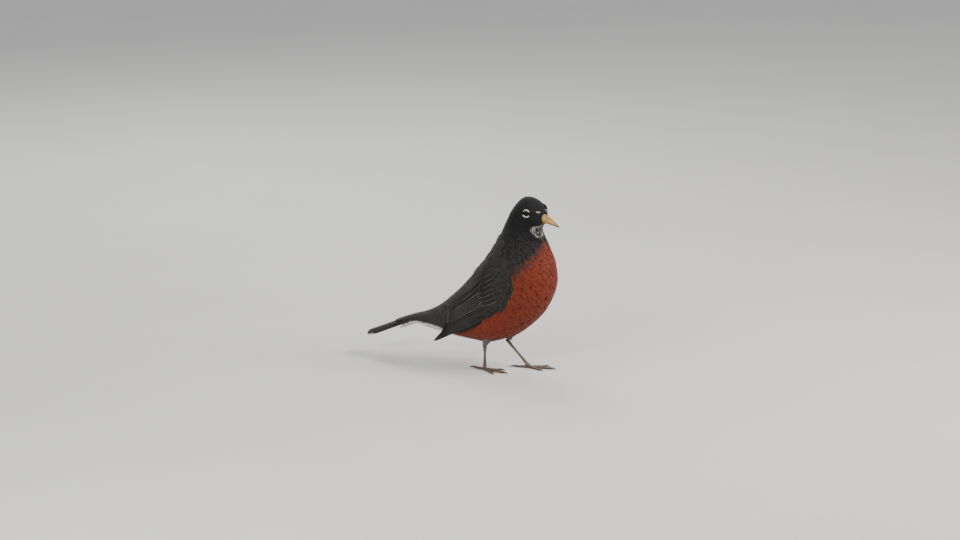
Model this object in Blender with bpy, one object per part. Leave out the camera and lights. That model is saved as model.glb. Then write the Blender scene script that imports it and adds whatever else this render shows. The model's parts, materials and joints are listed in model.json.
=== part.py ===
"""American robin, a still life-size figure of a standing adult male.

Worked out in millimetres in the bird's own frame: X towards the breast, Y towards its left side, Z up from
the floor, X = 0 between the feet. mesh_object() turns millimetres into metres, and centre_over_floor() puts
the origin on the floor under the middle of the bird.

The head, neck and trunk are one loft through named sections, parted by thin flat cuts. The folded wings are
thick sheets laid over that loft, and the tail, bill, legs, toes and claws are lofts of their own.
"""

from collections import namedtuple
from math import cos, pi, radians, sin

import bmesh
import bpy
from mathutils import Matrix, Vector
from mathutils.bvhtree import BVHTree

MM = 0.001
GAP = 0.34  # clear space between two pieces that meet

# A section across the body: its point on the back line and on the belly line as (x, z), half its width,
# where it is widest as a share of the way from back to belly, and how far it is turned to the bird's left.
Section = namedtuple("Section", "name back belly half_width widest turn")
BODY = [
    Section("tail_root", (-82.0, 47.6), (-80.0, 37.4), 8.0, 0.50, 0),
    Section("coverts", (-69.0, 51.8), (-66.5, 34.8), 10.5, 0.50, 0),
    Section("vent", (-54.5, 59.5), (-49.5, 32.0), 15.5, 0.50, 0),
    Section("rump", (-40.5, 71.0), (-29.0, 28.6), 21.5, 0.50, 0),
    Section("loin", (-26.5, 84.5), (-3.0, 28.6), 26.5, 0.52, 0),
    Section("belly", (-12.5, 101.0), (27.0, 36.5), 29.5, 0.52, 0),
    Section("back", (0.0, 117.0), (55.5, 58.0), 31.0, 0.52, 0),
    Section("breast", (9.0, 131.0), (70.0, 85.0), 30.0, 0.52, 0),
    Section("mantle", (14.5, 141.5), (70.0, 107.0), 27.0, 0.52, 0),
    Section("foreneck", (17.8, 149.3), (63.6, 125.0), 22.5, 0.50, -2),
    Section("hindneck", (20.8, 156.2), (58.4, 136.5), 18.6, 0.50, -5),
    Section("nape", (24.2, 163.2), (56.2, 142.5), 16.7, 0.50, -8),
    Section("occiput", (29.8, 171.0), (56.0, 146.5), 16.2, 0.52, -11),
    Section("crown", (38.0, 178.0), (57.0, 148.6), 15.9, 0.54, -12),
    Section("forecrown", (48.0, 177.6), (58.4, 150.2), 14.2, 0.56, -12),
    Section("forehead", (56.0, 172.6), (59.8, 151.6), 10.8, 0.58, -12),
    Section("lores", (60.4, 167.4), (61.0, 152.8), 7.0, 0.56, -12),
    Section("bill_base", (62.1, 163.7), (62.1, 154.9), 4.4, 0.52, -12),
]
# The parts of that loft, each from one section to another. A half is half-way to the next section.
BODY_PARTS = [
    ("rump", "tail_root", 0.0, "rump", 0.5),
    ("belly", "rump", 0.5, "back", 0.0),
    ("breast", "back", 0.0, "mantle", 0.5),
    ("neck", "mantle", 0.5, "nape", 0.4),
    ("head", "nape", 0.4, "bill_base", 0.0),
]
RINGS_PER_SECTION = 3
RING_POINTS = 26
NECK_X = 40.0  # the upright axis that the head turns about

EYE_RADIUS = 4.6
EYE_X, EYE_Z = 50.6, 165.2
EYE_DEPTH = 3.5  # the eyeball's centre below the side of the head

BILL_LENGTH = 20.0
BILL_HALF_WIDTH = 4.0
BILL_TOP, BILL_BOTTOM = 4.3, 3.2  # depth of each half at the base, from the cutting edge
BILL_PITCH = -18.0
BILL_DROP = 0.7  # how far the tip bends down

# Edges of a folded wing in side view, from the bend of the wing to its tip.
WING_LOWER = [(41.0, 93.0), (25.0, 67.0), (1.0, 47.0), (-25.0, 32.0), (-53.0, 19.0)]
WING_UPPER = [(37.0, 112.0), (12.5, 122.0), (-11.5, 94.5), (-35.0, 67.0), (-60.0, 31.0)]
WING_OFF_BODY = [26.0, 31.0, 30.5, 26.0, 17.5]  # least distance from the bird's middle plane
WING_LENGTH, WING_WIDTH = 125.0, 42.0
WING_PLATES = [
    # name, first and last share of the length, of the width, cells along and across, thickness
    ("coverts", 0.0, 0.42, 0.0, 1.0, 9, 9, 1.7),
    ("secondaries", 0.42, 0.86, 0.44, 1.0, 9, 6, 1.4),
    ("primaries", 0.42, 1.0, 0.0, 0.44, 12, 5, 1.1),
]

TAIL_ROOT, TAIL_PITCH = (-82.6, 45.6), -21.0
TAIL_LENGTH = 56.0
TAIL_HALF_WIDTH = (8.0, 15.0)  # at the root and near the tip
TAIL_THICKNESS = (4.0, 1.2)
TAIL_ROOF = 6.5  # how far the outer feathers lie below the middle pair
TAIL_NOTCH = 2.0

# Each leg: side (-1 is the right), ankle, foot joint, how far the foot is turned out, and how far below the
# ankle its feathers end.
Leg = namedtuple("Leg", "side ankle foot turn feathers")
LEGS = {
    "right": Leg(-1, (0.5, -13.0, 34.0), (0.5, -13.5, 3.4), 12, 7.0),
    "left": Leg(1, (13.5, 12.5, 26.5), (36.5, 13.5, 3.4), 8, -3.5),
}
THIGH_TOP = (15.0, 18.0, 52.0)  # forward of the ankle, outward of the middle plane, and up from the floor
THIGH_RADII = (11.0, 11.5, 8.5, 4.8, 2.7)
SHANK_RADII = (1.9, 2.3, 1.5, 1.3, 1.3, 1.45, 1.7)
FOOT_RADIUS = 2.35
SOLE = 0.82  # height of a toe's middle above the floor, as a share of its radius
INSTEP = 4.4  # length of the foot's stem up the shank, from the foot joint
# Each toe: name, angle from straight ahead (positive is inward), length, radius, claw length.
TOES = [
    ("middle", 0, 21.5, 1.55, 6.5),
    ("inner", 30, 14.5, 1.40, 5.5),
    ("outer", -28, 16.0, 1.40, 5.5),
    ("hind", 176, 11.5, 1.55, 8.0),
]
TOE_SIDES = 8
CLAW_POINT = 0.22
CLAW_CLEAR = 0.08  # the claws' undersides above the floor


def between(values, share):
    """A point on the smooth curve through evenly spaced values, at a share of its length."""
    rows = [Vector(v) if hasattr(v, "__len__") else Vector((v, 0.0)) for v in values]
    at = min(max(share, 0.0), 1.0) * (len(rows) - 1)
    i = min(int(at), len(rows) - 2)
    f = at - i
    b, c = rows[i], rows[i + 1]
    a = rows[i - 1] if i else b * 2 - c
    d = rows[i + 2] if i + 2 < len(rows) else c * 2 - b
    found = (b * 2 + (c - a) * f + (a * 2 - b * 5 + c * 4 - d) * f**2 + (b * 3 - a - c * 3 + d) * f**3) / 2
    return found if hasattr(values[0], "__len__") else found.x


def material(name, colour, roughness):
    """A plain finish: colour as linear red, green and blue."""
    made = bpy.data.materials.get(name)
    if made is None:
        made = bpy.data.materials.new(name)
        made.use_nodes = True
        shader = made.node_tree.nodes["Principled BSDF"]
        shader.inputs["Base Color"].default_value = (*colour, 1.0)
        shader.inputs["Roughness"].default_value = roughness
        shader.inputs["Metallic"].default_value = 0.0
    return made


def black_plumage():
    return material("black_plumage", (0.016, 0.015, 0.016), 0.85)


def slate_plumage():
    return material("slate_plumage", (0.060, 0.055, 0.052), 0.85)


def red_plumage():
    return material("red_plumage", (0.300, 0.055, 0.018), 0.9)


def flight_plumage():
    return material("flight_plumage", (0.030, 0.027, 0.026), 0.8)


def horn():
    return material("horn", (0.420, 0.250, 0.050), 0.45)


def leg_skin():
    return material("leg_skin", (0.085, 0.055, 0.040), 0.55)


def claw_horn():
    return material("claw_horn", (0.020, 0.016, 0.014), 0.4)


def eyeball():
    return material("eyeball", (0.010, 0.006, 0.004), 0.08)


def mesh_object(name, bm, finish, collection):
    """Finishes a bmesh, in millimetres, as an object in metres."""
    bmesh.ops.recalc_face_normals(bm, faces=bm.faces[:])
    if bm.calc_volume(signed=True) < 0:
        bmesh.ops.reverse_faces(bm, faces=bm.faces[:])
    bmesh.ops.transform(bm, matrix=Matrix.Scale(MM, 4), verts=bm.verts[:])
    mesh = bpy.data.meshes.new(name)
    bm.to_mesh(mesh)
    bm.free()
    mesh.materials.append(finish)
    mesh.shade_smooth()
    obj = bpy.data.objects.new(name, mesh)
    collection.objects.link(obj)
    return obj


def loft(rings):
    """A closed bmesh through rings with as many points each, with a flat cap on both ends."""
    bm = bmesh.new()
    loops = [[bm.verts.new(p) for p in ring] for ring in rings]
    for low, high in zip(loops, loops[1:]):
        for i in range(len(low)):
            j = (i + 1) % len(low)
            bm.faces.new((low[i], low[j], high[j], high[i]))
    bm.faces.new(loops[0][::-1])
    bm.faces.new(loops[-1])
    return bm


def boolean(obj, other, operation):
    modifier = obj.modifiers.new(f"{operation.lower()}_{other.name}", "BOOLEAN")
    modifier.object = other
    modifier.operation = operation
    modifier.solver = "EXACT"


# ---------------------------------------------------------------- head, neck and trunk


def body_ring(share, swell=0.0):
    """The body's outline at a share of the way from tail root to bill base, made wider by swell."""
    back = between([s.back for s in BODY], share)
    belly = between([s.belly for s in BODY], share)
    half_width = between([s.half_width for s in BODY], share) + swell
    widest = between([s.widest for s in BODY], share)
    turn = between([s.turn for s in BODY], share)
    up = (back - belly).normalized()
    back, belly = back + up * swell, belly - up * swell
    middle = back.lerp(belly, widest)
    ring = []
    for i in range(RING_POINTS):
        angle = 2 * pi * i / RING_POINTS
        reach = back - middle if cos(angle) > 0 else middle - belly
        x, z = middle + reach * cos(angle)
        ring.append(Vector((x, half_width * sin(angle), z)))
    around = Matrix.Rotation(radians(turn), 4, "Z")
    pivot = Vector((NECK_X, 0.0, 0.0))
    return [around @ (p - pivot) + pivot for p in ring]


def shifted(ring, towards, by):
    """A flat ring moved square to its own plane, to the side where another ring lies."""
    normal = (ring[RING_POINTS // 4] - ring[0]).cross(ring[RING_POINTS // 2] - ring[0]).normalized()
    if normal.dot(towards[0] - ring[0]) + normal.dot(towards[RING_POINTS // 2] - ring[RING_POINTS // 2]) < 0:
        normal = -normal
    return [p + normal * by for p in ring]


def body_rings(first, last, swell=0.0):
    """Rings from one share to another, with half a gap left clear at each end."""
    steps = max(2, round((last - first) * (len(BODY) - 1) * RINGS_PER_SECTION))
    rings = [body_ring(first + (last - first) * i / steps, swell) for i in range(steps + 1)]
    rings[0] = shifted(rings[0], rings[1], GAP / 2)
    rings[-1] = shifted(rings[-1], rings[-2], GAP / 2)
    return rings


def share_of(section, past):
    names = [s.name for s in BODY]
    return (names.index(section) + past) / (len(BODY) - 1)


def build_body(collection):
    finishes = {
        "rump": slate_plumage(),
        "belly": red_plumage(),
        "breast": red_plumage(),
        "neck": slate_plumage(),
        "head": black_plumage(),
    }
    parts = {}
    for name, first, first_past, last, last_past in BODY_PARTS:
        rings = body_rings(share_of(first, first_past), share_of(last, last_past))
        parts[name] = mesh_object(name, loft(rings), finishes[name], collection)
    return parts


def turned_head(point):
    """A point of the straight head, in its place on the turned head."""
    pivot = Vector((NECK_X, 0.0, 0.0))
    return Matrix.Rotation(radians(BODY[-1].turn), 4, "Z") @ (Vector(point) - pivot) + pivot


# ---------------------------------------------------------------- eyes and bill


def ball(radius, segments):
    bm = bmesh.new()
    bmesh.ops.create_uvsphere(bm, u_segments=segments, v_segments=segments // 2 + 2, radius=radius)
    return bm


def build_eyes(collection, cutters, head, whole):
    """Two eyeballs, each in a socket cut from the head."""
    for side, name in ((-1, "right"), (1, "left")):
        outside = turned_head((EYE_X, side * 60.0, EYE_Z))
        inward = (turned_head((EYE_X, 0.0, EYE_Z)) - outside).normalized()
        skin = whole.ray_cast(outside, inward)[0]
        centre = skin + inward * EYE_DEPTH
        sizes = [(f"eye_{name}", EYE_RADIUS, collection, eyeball(), 14)]
        sizes.append((f"socket_{name}", EYE_RADIUS + GAP, cutters, black_plumage(), 16))
        for label, radius, place, finish, segments in sizes:
            bm = ball(radius, segments)
            bmesh.ops.rotate(bm, verts=bm.verts[:], matrix=inward.to_track_quat("Z", "Y").to_matrix())
            bmesh.ops.translate(bm, verts=bm.verts[:], vec=centre)
            made = mesh_object(label, bm, finish, place)
        boolean(head, made, "DIFFERENCE")


def bill_ring(share, side):
    """One half of the bill, side 1 above the cutting edge and -1 below it, at a share of its length."""
    length = BILL_LENGTH if side > 0 else BILL_LENGTH - 1.8
    depth = (BILL_TOP if side > 0 else BILL_BOTTOM) * (1 - share**1.7) + 0.35
    half_width = BILL_HALF_WIDTH * (1 - share) ** 0.8 + 0.35
    drop = BILL_DROP * share**3
    pitch = radians(BILL_PITCH)
    base = (Vector(BODY[-1].back) + Vector(BODY[-1].belly)) / 2
    forward = Vector((cos(pitch), sin(pitch)))
    edge = (BILL_BOTTOM - BILL_TOP) / 2
    ring = []
    for i in range(10):
        angle = pi * i / 9
        height = side * (sin(angle) * depth + GAP / 2) + edge - drop
        x, z = base + forward * share * length + Vector((GAP, height))
        ring.append(turned_head((x, half_width * cos(angle), z)))
    return ring


def build_bill(collection):
    for name, side in (("bill_upper", 1), ("bill_lower", -1)):
        rings = [bill_ring(i / 8, side) for i in range(9)]
        mesh_object(name, loft(rings), horn(), collection)


# ---------------------------------------------------------------- wings


def smooth_most(a, b, soft=3.0):
    """The larger of two lengths, rounded where they are nearly equal."""
    h = max(soft - abs(a - b), 0.0) / soft
    return max(a, b) + h * h * soft / 4


def wing_point(side, along, across, whole, thickness):
    """A point on the outside of a folded wing, which rests on the body or hangs past it."""
    low, high = between(WING_LOWER, along), between(WING_UPPER, along)
    x, z = low.lerp(high, across)
    plate = between(WING_OFF_BODY, along) * (1 - 0.42 * across**3)
    hit, normal, _, _ = whole.ray_cast(Vector((x, side * 90.0, z)), Vector((0.0, -side, 0.0)))
    if hit is None:
        return Vector((x, side * plate, z))
    out = hit + normal * (thickness + 3 * GAP)
    return Vector((out.x, side * smooth_most(abs(out.y), plate), out.z))


def build_wing(collection, side, label, whole):
    """Three thick sheets: the coverts in front, and behind them secondaries over primaries."""
    for name, along0, along1, across0, across1, cells_along, cells_across, thickness in WING_PLATES:
        bm = bmesh.new()
        bmesh.ops.create_grid(bm, x_segments=cells_along, y_segments=cells_across, size=0.5)
        inset_along, inset_across = 0.8 * GAP / WING_LENGTH, 0.8 * GAP / WING_WIDTH
        for v in bm.verts:
            p, q = v.co.x + 0.5, v.co.y + 0.5
            if name == "coverts":  # the front edge is rounded, and so are the two rear ends
                p += (1 - p) * 0.2 * (2 * q - 1) ** 4
            if name == "secondaries":
                p *= 1 - 0.16 * (2 * q - 1) ** 2
            if name == "primaries":
                p *= 1 - 0.06 * (2 * q - 1) ** 4
            along = along0 + inset_along + (along1 - along0 - 2 * inset_along) * p
            across = across0 + inset_across + (across1 - across0 - 2 * inset_across) * q
            if name == "primaries" and along > 0.82:  # past the secondaries the tip takes the full width
                across = across * (1 + 0.9 * (along - 0.82) / 0.18)
            v.co = wing_point(side, along, across, whole, thickness)
        bmesh.ops.recalc_face_normals(bm, faces=bm.faces[:])
        if sum(f.normal.y for f in bm.faces) * side < 0:
            bmesh.ops.reverse_faces(bm, faces=bm.faces[:])
        bmesh.ops.solidify(bm, geom=bm.faces[:], thickness=thickness)
        mesh_object(f"wing_{label}_{name}", bm, flight_plumage(), collection)


# ---------------------------------------------------------------- tail


def tail_ring(share, side):
    """Half of the closed tail, from the middle line outwards, at a share of its length."""
    pitch = radians(TAIL_PITCH)
    root = Vector(TAIL_ROOT)
    forward, up = Vector((-cos(pitch), sin(pitch))), Vector((sin(pitch), cos(pitch)))
    half_width = TAIL_HALF_WIDTH[0] + (TAIL_HALF_WIDTH[1] - TAIL_HALF_WIDTH[0]) * share**0.8
    thickness = TAIL_THICKNESS[0] + (TAIL_THICKNESS[1] - TAIL_THICKNESS[0]) * share**0.6
    columns = 5
    top, bottom = [], []
    for i in range(columns + 1):
        u = i / columns
        reach = TAIL_LENGTH - TAIL_NOTCH * (1 - u) - 5.0 * max(0.0, (u - 0.6) / 0.4) ** 2
        y = side * (GAP / 2 + half_width * u)
        x, z = root + forward * reach * share - up * (TAIL_ROOF * u * u)
        rim = thickness * (1 - 0.45 * u)
        lift = up * rim / 2
        top.append(Vector((x + lift.x, y, z + lift.y)))
        bottom.append(Vector((x - lift.x, y, z - lift.y)))
    return top + bottom[::-1]


def build_tail(collection):
    for side, label in ((-1, "right"), (1, "left")):
        rings = [tail_ring(i / 9, side) for i in range(10)]
        mesh_object(f"tail_{label}", loft(rings), flight_plumage(), collection)


# ---------------------------------------------------------------- legs


def tube(path, radii, sides):
    """A closed bmesh tube along a path, with a radius at each of its points and flat ends."""
    curve = bpy.data.curves.new("tube", "CURVE")
    curve.dimensions = "3D"
    curve.bevel_depth = 1.0
    curve.bevel_resolution = sides // 2 - 2
    curve.use_fill_caps = True
    spline = curve.splines.new("POLY")
    spline.points.add(len(path) - 1)
    for point, place, radius in zip(spline.points, path, radii):
        point.co = (*place, 1.0)
        point.radius = radius
    guide = bpy.data.objects.new("tube", curve)
    bpy.context.scene.collection.objects.link(guide)
    mesh = bpy.data.meshes.new_from_object(guide.evaluated_get(bpy.context.evaluated_depsgraph_get()))
    bm = bmesh.new()
    bm.from_mesh(mesh)
    bmesh.ops.remove_doubles(bm, verts=bm.verts[:], dist=0.001)
    bpy.data.objects.remove(guide)
    bpy.data.curves.remove(curve)
    bpy.data.meshes.remove(mesh)
    return bm


def line(start, end, steps):
    return [start.lerp(end, i / steps) for i in range(steps + 1)]


def foot_joint(leg):
    """The centre of the foot's ball, and the way up the shank from there."""
    joint = Vector((leg.foot[0], leg.foot[1], FOOT_RADIUS * 0.9))
    return joint, (Vector(leg.ankle) - joint).normalized()


def build_thigh(leg, label, collection, body_cutter):
    """The feathered drumstick, from inside the belly's outline to where the leg is bare, with the belly cut
    away. Returns the path of the bare leg."""
    ankle = Vector(leg.ankle)
    forward, outward, height = THIGH_TOP
    top = Vector((ankle.x + forward, leg.side * outward, height))
    foot, up_leg = foot_joint(leg)
    last = foot + up_leg * (INSTEP + GAP)
    if leg.feathers < 0:
        end = ankle + (top - ankle).normalized() * -leg.feathers
        bare = [end, ankle] + line(ankle, last, 6)[1:]
    else:
        end = ankle - up_leg * leg.feathers
        bare = line(end, last, 7)
    down = (bare[1] - end).normalized()
    path = line(top, end, 6) + [end + down * GAP]
    radii = [between(THIGH_RADII, i / 7) for i in range(8)]
    thigh = mesh_object(f"thigh_{label}", tube(path, radii, 14), slate_plumage(), collection)
    boolean(thigh, body_cutter, "DIFFERENCE")
    bare[0] = end + down * 2 * GAP
    return bare


def build_shank(label, collection, path):
    """The bare leg, from the thigh feathers to just above the foot joint."""
    radii = [between(SHANK_RADII, i / 7) for i in range(8)]
    mesh_object(f"shank_{label}", tube(path, radii, 10), leg_skin(), collection)


def toe_shape(leg, angle, length, radius):
    """A toe's path from the foot joint down onto the floor and along it, its radii, and the way it points.
    It is fuller at its pads than between them, and its underside reaches just below the floor."""
    heading = radians(leg.side * (leg.turn - angle))
    forward = Vector((cos(heading), sin(heading), 0.0))
    x, y, joint_height = leg.foot
    path, radii = [], []
    for i in range(8):
        share = i / 7
        thick = radius * (1.05 - 0.28 * share + 0.09 * cos(2 * pi * i / 2.33))
        height = thick * SOLE + (joint_height - 1.2 - thick * SOLE) * max(0.0, 1 - 3 * share) ** 2
        path.append(Vector((x, y, height)) + forward * length * share)
        radii.append(thick)
    return path, radii, forward


def claw(start, forward, length, radius):
    """A hooked claw that leaves the toe level, and comes down with its point just clear of the floor."""
    path, radii = [], []
    for i in range(6):
        s = i / 5
        thick = radius * (1 - s) ** 0.75 + CLAW_POINT
        height = start.z * (1 - s * s) + 0.7 * sin(pi * s) ** 2
        path.append(Vector((start.x, start.y, max(height, thick + CLAW_CLEAR))) + forward * length * s)
        radii.append(thick)
    return tube(path, radii, TOE_SIDES)


def build_foot(leg, label, collection, cutters, floor):
    """Four toes joined at the foot joint and cut flat on the floor, each with a separate claw."""
    bm = bmesh.new()
    bmesh.ops.create_icosphere(bm, subdivisions=2, radius=FOOT_RADIUS)
    joint, up_leg = foot_joint(leg)
    bmesh.ops.translate(bm, verts=bm.verts[:], vec=joint)
    foot = mesh_object(f"foot_{label}", bm, leg_skin(), collection)
    stem = tube(line(joint, joint + up_leg * INSTEP, 2), (2.1, 1.95, 1.75), 10)
    boolean(foot, mesh_object(f"instep_{label}", stem, leg_skin(), cutters), "UNION")
    for name, angle, length, radius, claw_length in TOES:
        path, radii, forward = toe_shape(leg, angle, length, radius)
        toe = mesh_object(f"toe_{label}_{name}", tube(path, radii, TOE_SIDES), leg_skin(), cutters)
        boolean(foot, toe, "UNION")
        start = path[-1] + forward * 2 * GAP
        bm = claw(start, forward, claw_length, radii[-1] * 0.78)
        mesh_object(f"claw_{label}_{name}", bm, claw_horn(), collection)
    boolean(foot, floor, "DIFFERENCE")


def build_legs(collection, cutters):
    body_cutter = mesh_object("body_outline", loft(body_rings(0.0, 1.0, GAP)), leg_skin(), cutters)
    bm = bmesh.new()
    bmesh.ops.create_cube(bm, size=200.0)
    bmesh.ops.translate(bm, verts=bm.verts[:], vec=Vector((0.0, 0.0, -100.0)))
    floor = mesh_object("floor_slab", bm, leg_skin(), cutters)
    for label, leg in LEGS.items():
        build_shank(label, collection, build_thigh(leg, label, collection, body_cutter))
        build_foot(leg, label, collection, cutters, floor)


# ---------------------------------------------------------------- the whole bird


def clear_scene():
    for obj in list(bpy.data.objects):
        bpy.data.objects.remove(obj, do_unlink=True)
    for name in ("american_robin", "cutters"):
        found = bpy.data.collections.get(name)
        if found:
            bpy.data.collections.remove(found)


def new_collection(name):
    made = bpy.data.collections.new(name)
    bpy.context.scene.collection.children.link(made)
    return made


def centre_over_floor(collection, cutters):
    """Moves everything level, so that the origin is under the middle of the bird."""
    bpy.context.view_layer.update()
    graph = bpy.context.evaluated_depsgraph_get()
    places = []
    for obj in collection.objects:
        places += [Vector(corner) for corner in obj.evaluated_get(graph).bound_box]
    middle = Vector((0.0, 0.0, 0.0))
    for axis in (0, 1):
        middle[axis] = (min(p[axis] for p in places) + max(p[axis] for p in places)) / 2
    for obj in [*collection.objects, *cutters.objects]:
        obj.data.transform(Matrix.Translation(-middle))


def main():
    clear_scene()
    robin, cutters = new_collection("american_robin"), new_collection("cutters")
    outline = loft(body_rings(0.0, 1.0))
    bmesh.ops.recalc_face_normals(outline, faces=outline.faces[:])
    whole = BVHTree.FromBMesh(outline)
    outline.free()
    parts = build_body(robin)
    build_eyes(robin, cutters, parts["head"], whole)
    build_bill(robin)
    for side, label in ((-1, "right"), (1, "left")):
        build_wing(robin, side, label, whole)
    build_tail(robin)
    build_legs(robin, cutters)
    for obj in cutters.objects:
        obj.hide_render = True
        obj.display_type = "WIRE"
    centre_over_floor(robin, cutters)


main()
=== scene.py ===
"""American robin: skin, eyes, bill, feathers and legs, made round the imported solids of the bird.

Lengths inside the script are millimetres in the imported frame: X to the breast, Y to the bird's left side and
Z up from the floor. add_piece() turns them into metres. Feathers lie on sheets, which are grids of points
over a part of the bird, with u towards the feathers' tips and v across them.
"""

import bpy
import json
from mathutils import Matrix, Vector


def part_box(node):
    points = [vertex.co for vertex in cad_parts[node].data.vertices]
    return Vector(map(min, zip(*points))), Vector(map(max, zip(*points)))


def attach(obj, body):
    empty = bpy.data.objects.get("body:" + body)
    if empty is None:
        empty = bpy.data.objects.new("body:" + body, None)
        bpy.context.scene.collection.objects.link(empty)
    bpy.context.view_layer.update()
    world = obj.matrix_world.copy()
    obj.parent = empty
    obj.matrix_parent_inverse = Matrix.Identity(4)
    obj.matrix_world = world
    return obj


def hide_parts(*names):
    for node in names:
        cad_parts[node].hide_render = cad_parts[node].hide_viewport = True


bl_info = {
    "name": "American Robin Figure",
    "version": (1, 0, 0),
    "blender": (4, 5, 0),
    "location": "View3D > Sidebar > Robin",
    "description": "A life-size American robin with its skin, eyes, bill, feathers, legs and stage",
    "category": "Add Mesh",
}

import json
from math import cos, pi, radians, sin

import bmesh
import bpy
import numpy as np
from mathutils import Matrix, Vector, kdtree
from mathutils.bvhtree import BVHTree

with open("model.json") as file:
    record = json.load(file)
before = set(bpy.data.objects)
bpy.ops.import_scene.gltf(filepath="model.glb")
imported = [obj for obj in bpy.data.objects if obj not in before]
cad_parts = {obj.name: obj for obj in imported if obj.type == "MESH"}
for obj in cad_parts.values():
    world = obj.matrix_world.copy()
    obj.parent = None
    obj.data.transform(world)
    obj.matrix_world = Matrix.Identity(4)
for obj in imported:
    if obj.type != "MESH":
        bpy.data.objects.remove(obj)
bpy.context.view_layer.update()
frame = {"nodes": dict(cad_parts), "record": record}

MM = 0.001
SIDES = {"right": -1, "left": 1}
WING_PARTS = ("coverts", "secondaries", "primaries")
TOES = ("middle", "inner", "outer", "hind")
SOLES = {m["name"]: Vector(m["pos_m"]) / MM for m in frame["record"]["mounts"]}
FORWARD = SOLES["sole_right"].x - 0.5  # where the bird's own X = 0 lies in the frame

# ---------------------------------------------------------------- the bird's sections and markings

# Sections across the head, neck and trunk, from over the tail to the bill, in the bird's own X and Z: a point
# on the back, a point on the belly, half the width, where it is widest, and the turn to the left in degrees.
# Then the depth of the coat and the distance between feathers, and the markings: the share of the way round
# from back to belly at which red begins and white begins, and how black the upper parts are.
COLUMNS = "back_x back_z belly_x belly_z half widest turn coat apart red white black".split()
SECTIONS = {
    "over_tail": (-113.0, 35.2, -110.5, 27.6, 7.6, 0.5, 0, 0.9, 3.6, 2.0, 0.66, 0.3),
    "tail_base": (-98.0, 41.7, -95.0, 31.6, 8.0, 0.5, 0, 1.4, 3.6, 2.0, 0.64, 0.25),
    "tail_root": (-82.0, 47.6, -80.0, 37.4, 8.0, 0.5, 0, 2.0, 3.5, 2.0, 0.60, 0.15),
    "coverts": (-69.0, 51.8, -66.5, 34.8, 10.5, 0.5, 0, 3.6, 3.4, 1.4, 0.60, 0.08),
    "vent": (-54.5, 59.5, -49.5, 32.0, 15.5, 0.5, 0, 5.0, 3.5, 0.84, 0.66, 0.05),
    "rump": (-40.5, 71.0, -29.0, 28.6, 21.5, 0.5, 0, 5.4, 3.6, 0.72, 0.80, 0.05),
    "loin": (-26.5, 84.5, -3.0, 28.6, 26.5, 0.52, 0, 5.6, 3.7, 0.47, 0.95, 0.05),
    "belly": (-12.5, 101.0, 27.0, 36.5, 29.5, 0.52, 0, 5.6, 3.7, 0.44, 1.2, 0.05),
    "back": (0.0, 117.0, 55.5, 58.0, 31.0, 0.52, 0, 5.4, 3.6, 0.45, 2.0, 0.08),
    "breast": (9.0, 131.0, 70.0, 85.0, 30.0, 0.52, 0, 5.0, 3.3, 0.50, 2.0, 0.15),
    "mantle": (14.5, 141.5, 70.0, 107.0, 27.0, 0.52, 0, 4.4, 2.9, 0.60, 2.0, 0.35),
    "foreneck": (17.8, 149.3, 63.6, 125.0, 22.5, 0.5, -2, 3.6, 2.4, 0.79, 2.0, 0.60),
    "hindneck": (20.8, 156.2, 58.4, 136.5, 18.6, 0.5, -5, 2.8, 2.05, 1.0, 1.05, 0.85),
    "nape": (24.2, 163.2, 56.2, 142.5, 16.7, 0.5, -8, 2.3, 1.8, 1.4, 0.81, 1.0),
    "occiput": (29.8, 171.0, 56.0, 146.5, 16.2, 0.52, -11, 2.0, 1.6, 2.0, 0.77, 1.0),
    "crown": (38.0, 178.0, 57.0, 148.6, 15.9, 0.54, -12, 1.7, 1.4, 2.0, 0.80, 1.0),
    "forecrown": (48.0, 177.6, 58.4, 150.2, 14.2, 0.56, -12, 1.4, 1.2, 2.0, 0.85, 1.0),
    "forehead": (56.0, 172.6, 59.8, 151.6, 10.8, 0.58, -12, 1.1, 1.05, 2.0, 0.88, 1.0),
    "lores": (60.4, 167.4, 61.0, 152.8, 7.0, 0.56, -12, 0.8, 0.9, 2.0, 0.90, 1.0),
    "bill_base": (62.1, 163.7, 62.1, 154.9, 4.4, 0.52, -12, 0.5, 0.8, 2.0, 0.88, 1.0),
}
HEAD_TURN = SECTIONS["bill_base"][COLUMNS.index("turn")]
NECK_AXIS = Vector((40.0 + FORWARD, 0.0, 0.0))

# The feathered drumsticks, as the top and the end of each one's axis, with its radius from top to end.
THIGHS = {
    "right": ((15.5, -18.0, 52.0), (0.5, -13.1, 27.0)),
    "left": ((28.5, 18.0, 52.0), (15.2, 13.1, 29.5)),
}
THIGH_RADII = (6.0, 7.6, 7.3, 4.8, 2.7)
THIGH_END = 0.67  # the share of the drumstick's sheet at which the shank begins
THIGH_PUSH = 4.5  # the most that a drumstick raises the body's feathers

# The edges of a folded wing in side view, from its bend to its tip, in the bird's own X and Z.
WING_LOWER = [(41.0, 93.0), (25.0, 67.0), (1.0, 47.0), (-25.0, 32.0), (-53.0, 19.0)]
WING_UPPER = [(37.0, 112.0), (12.5, 122.0), (-11.5, 94.5), (-35.0, 67.0), (-60.0, 31.0)]

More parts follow.
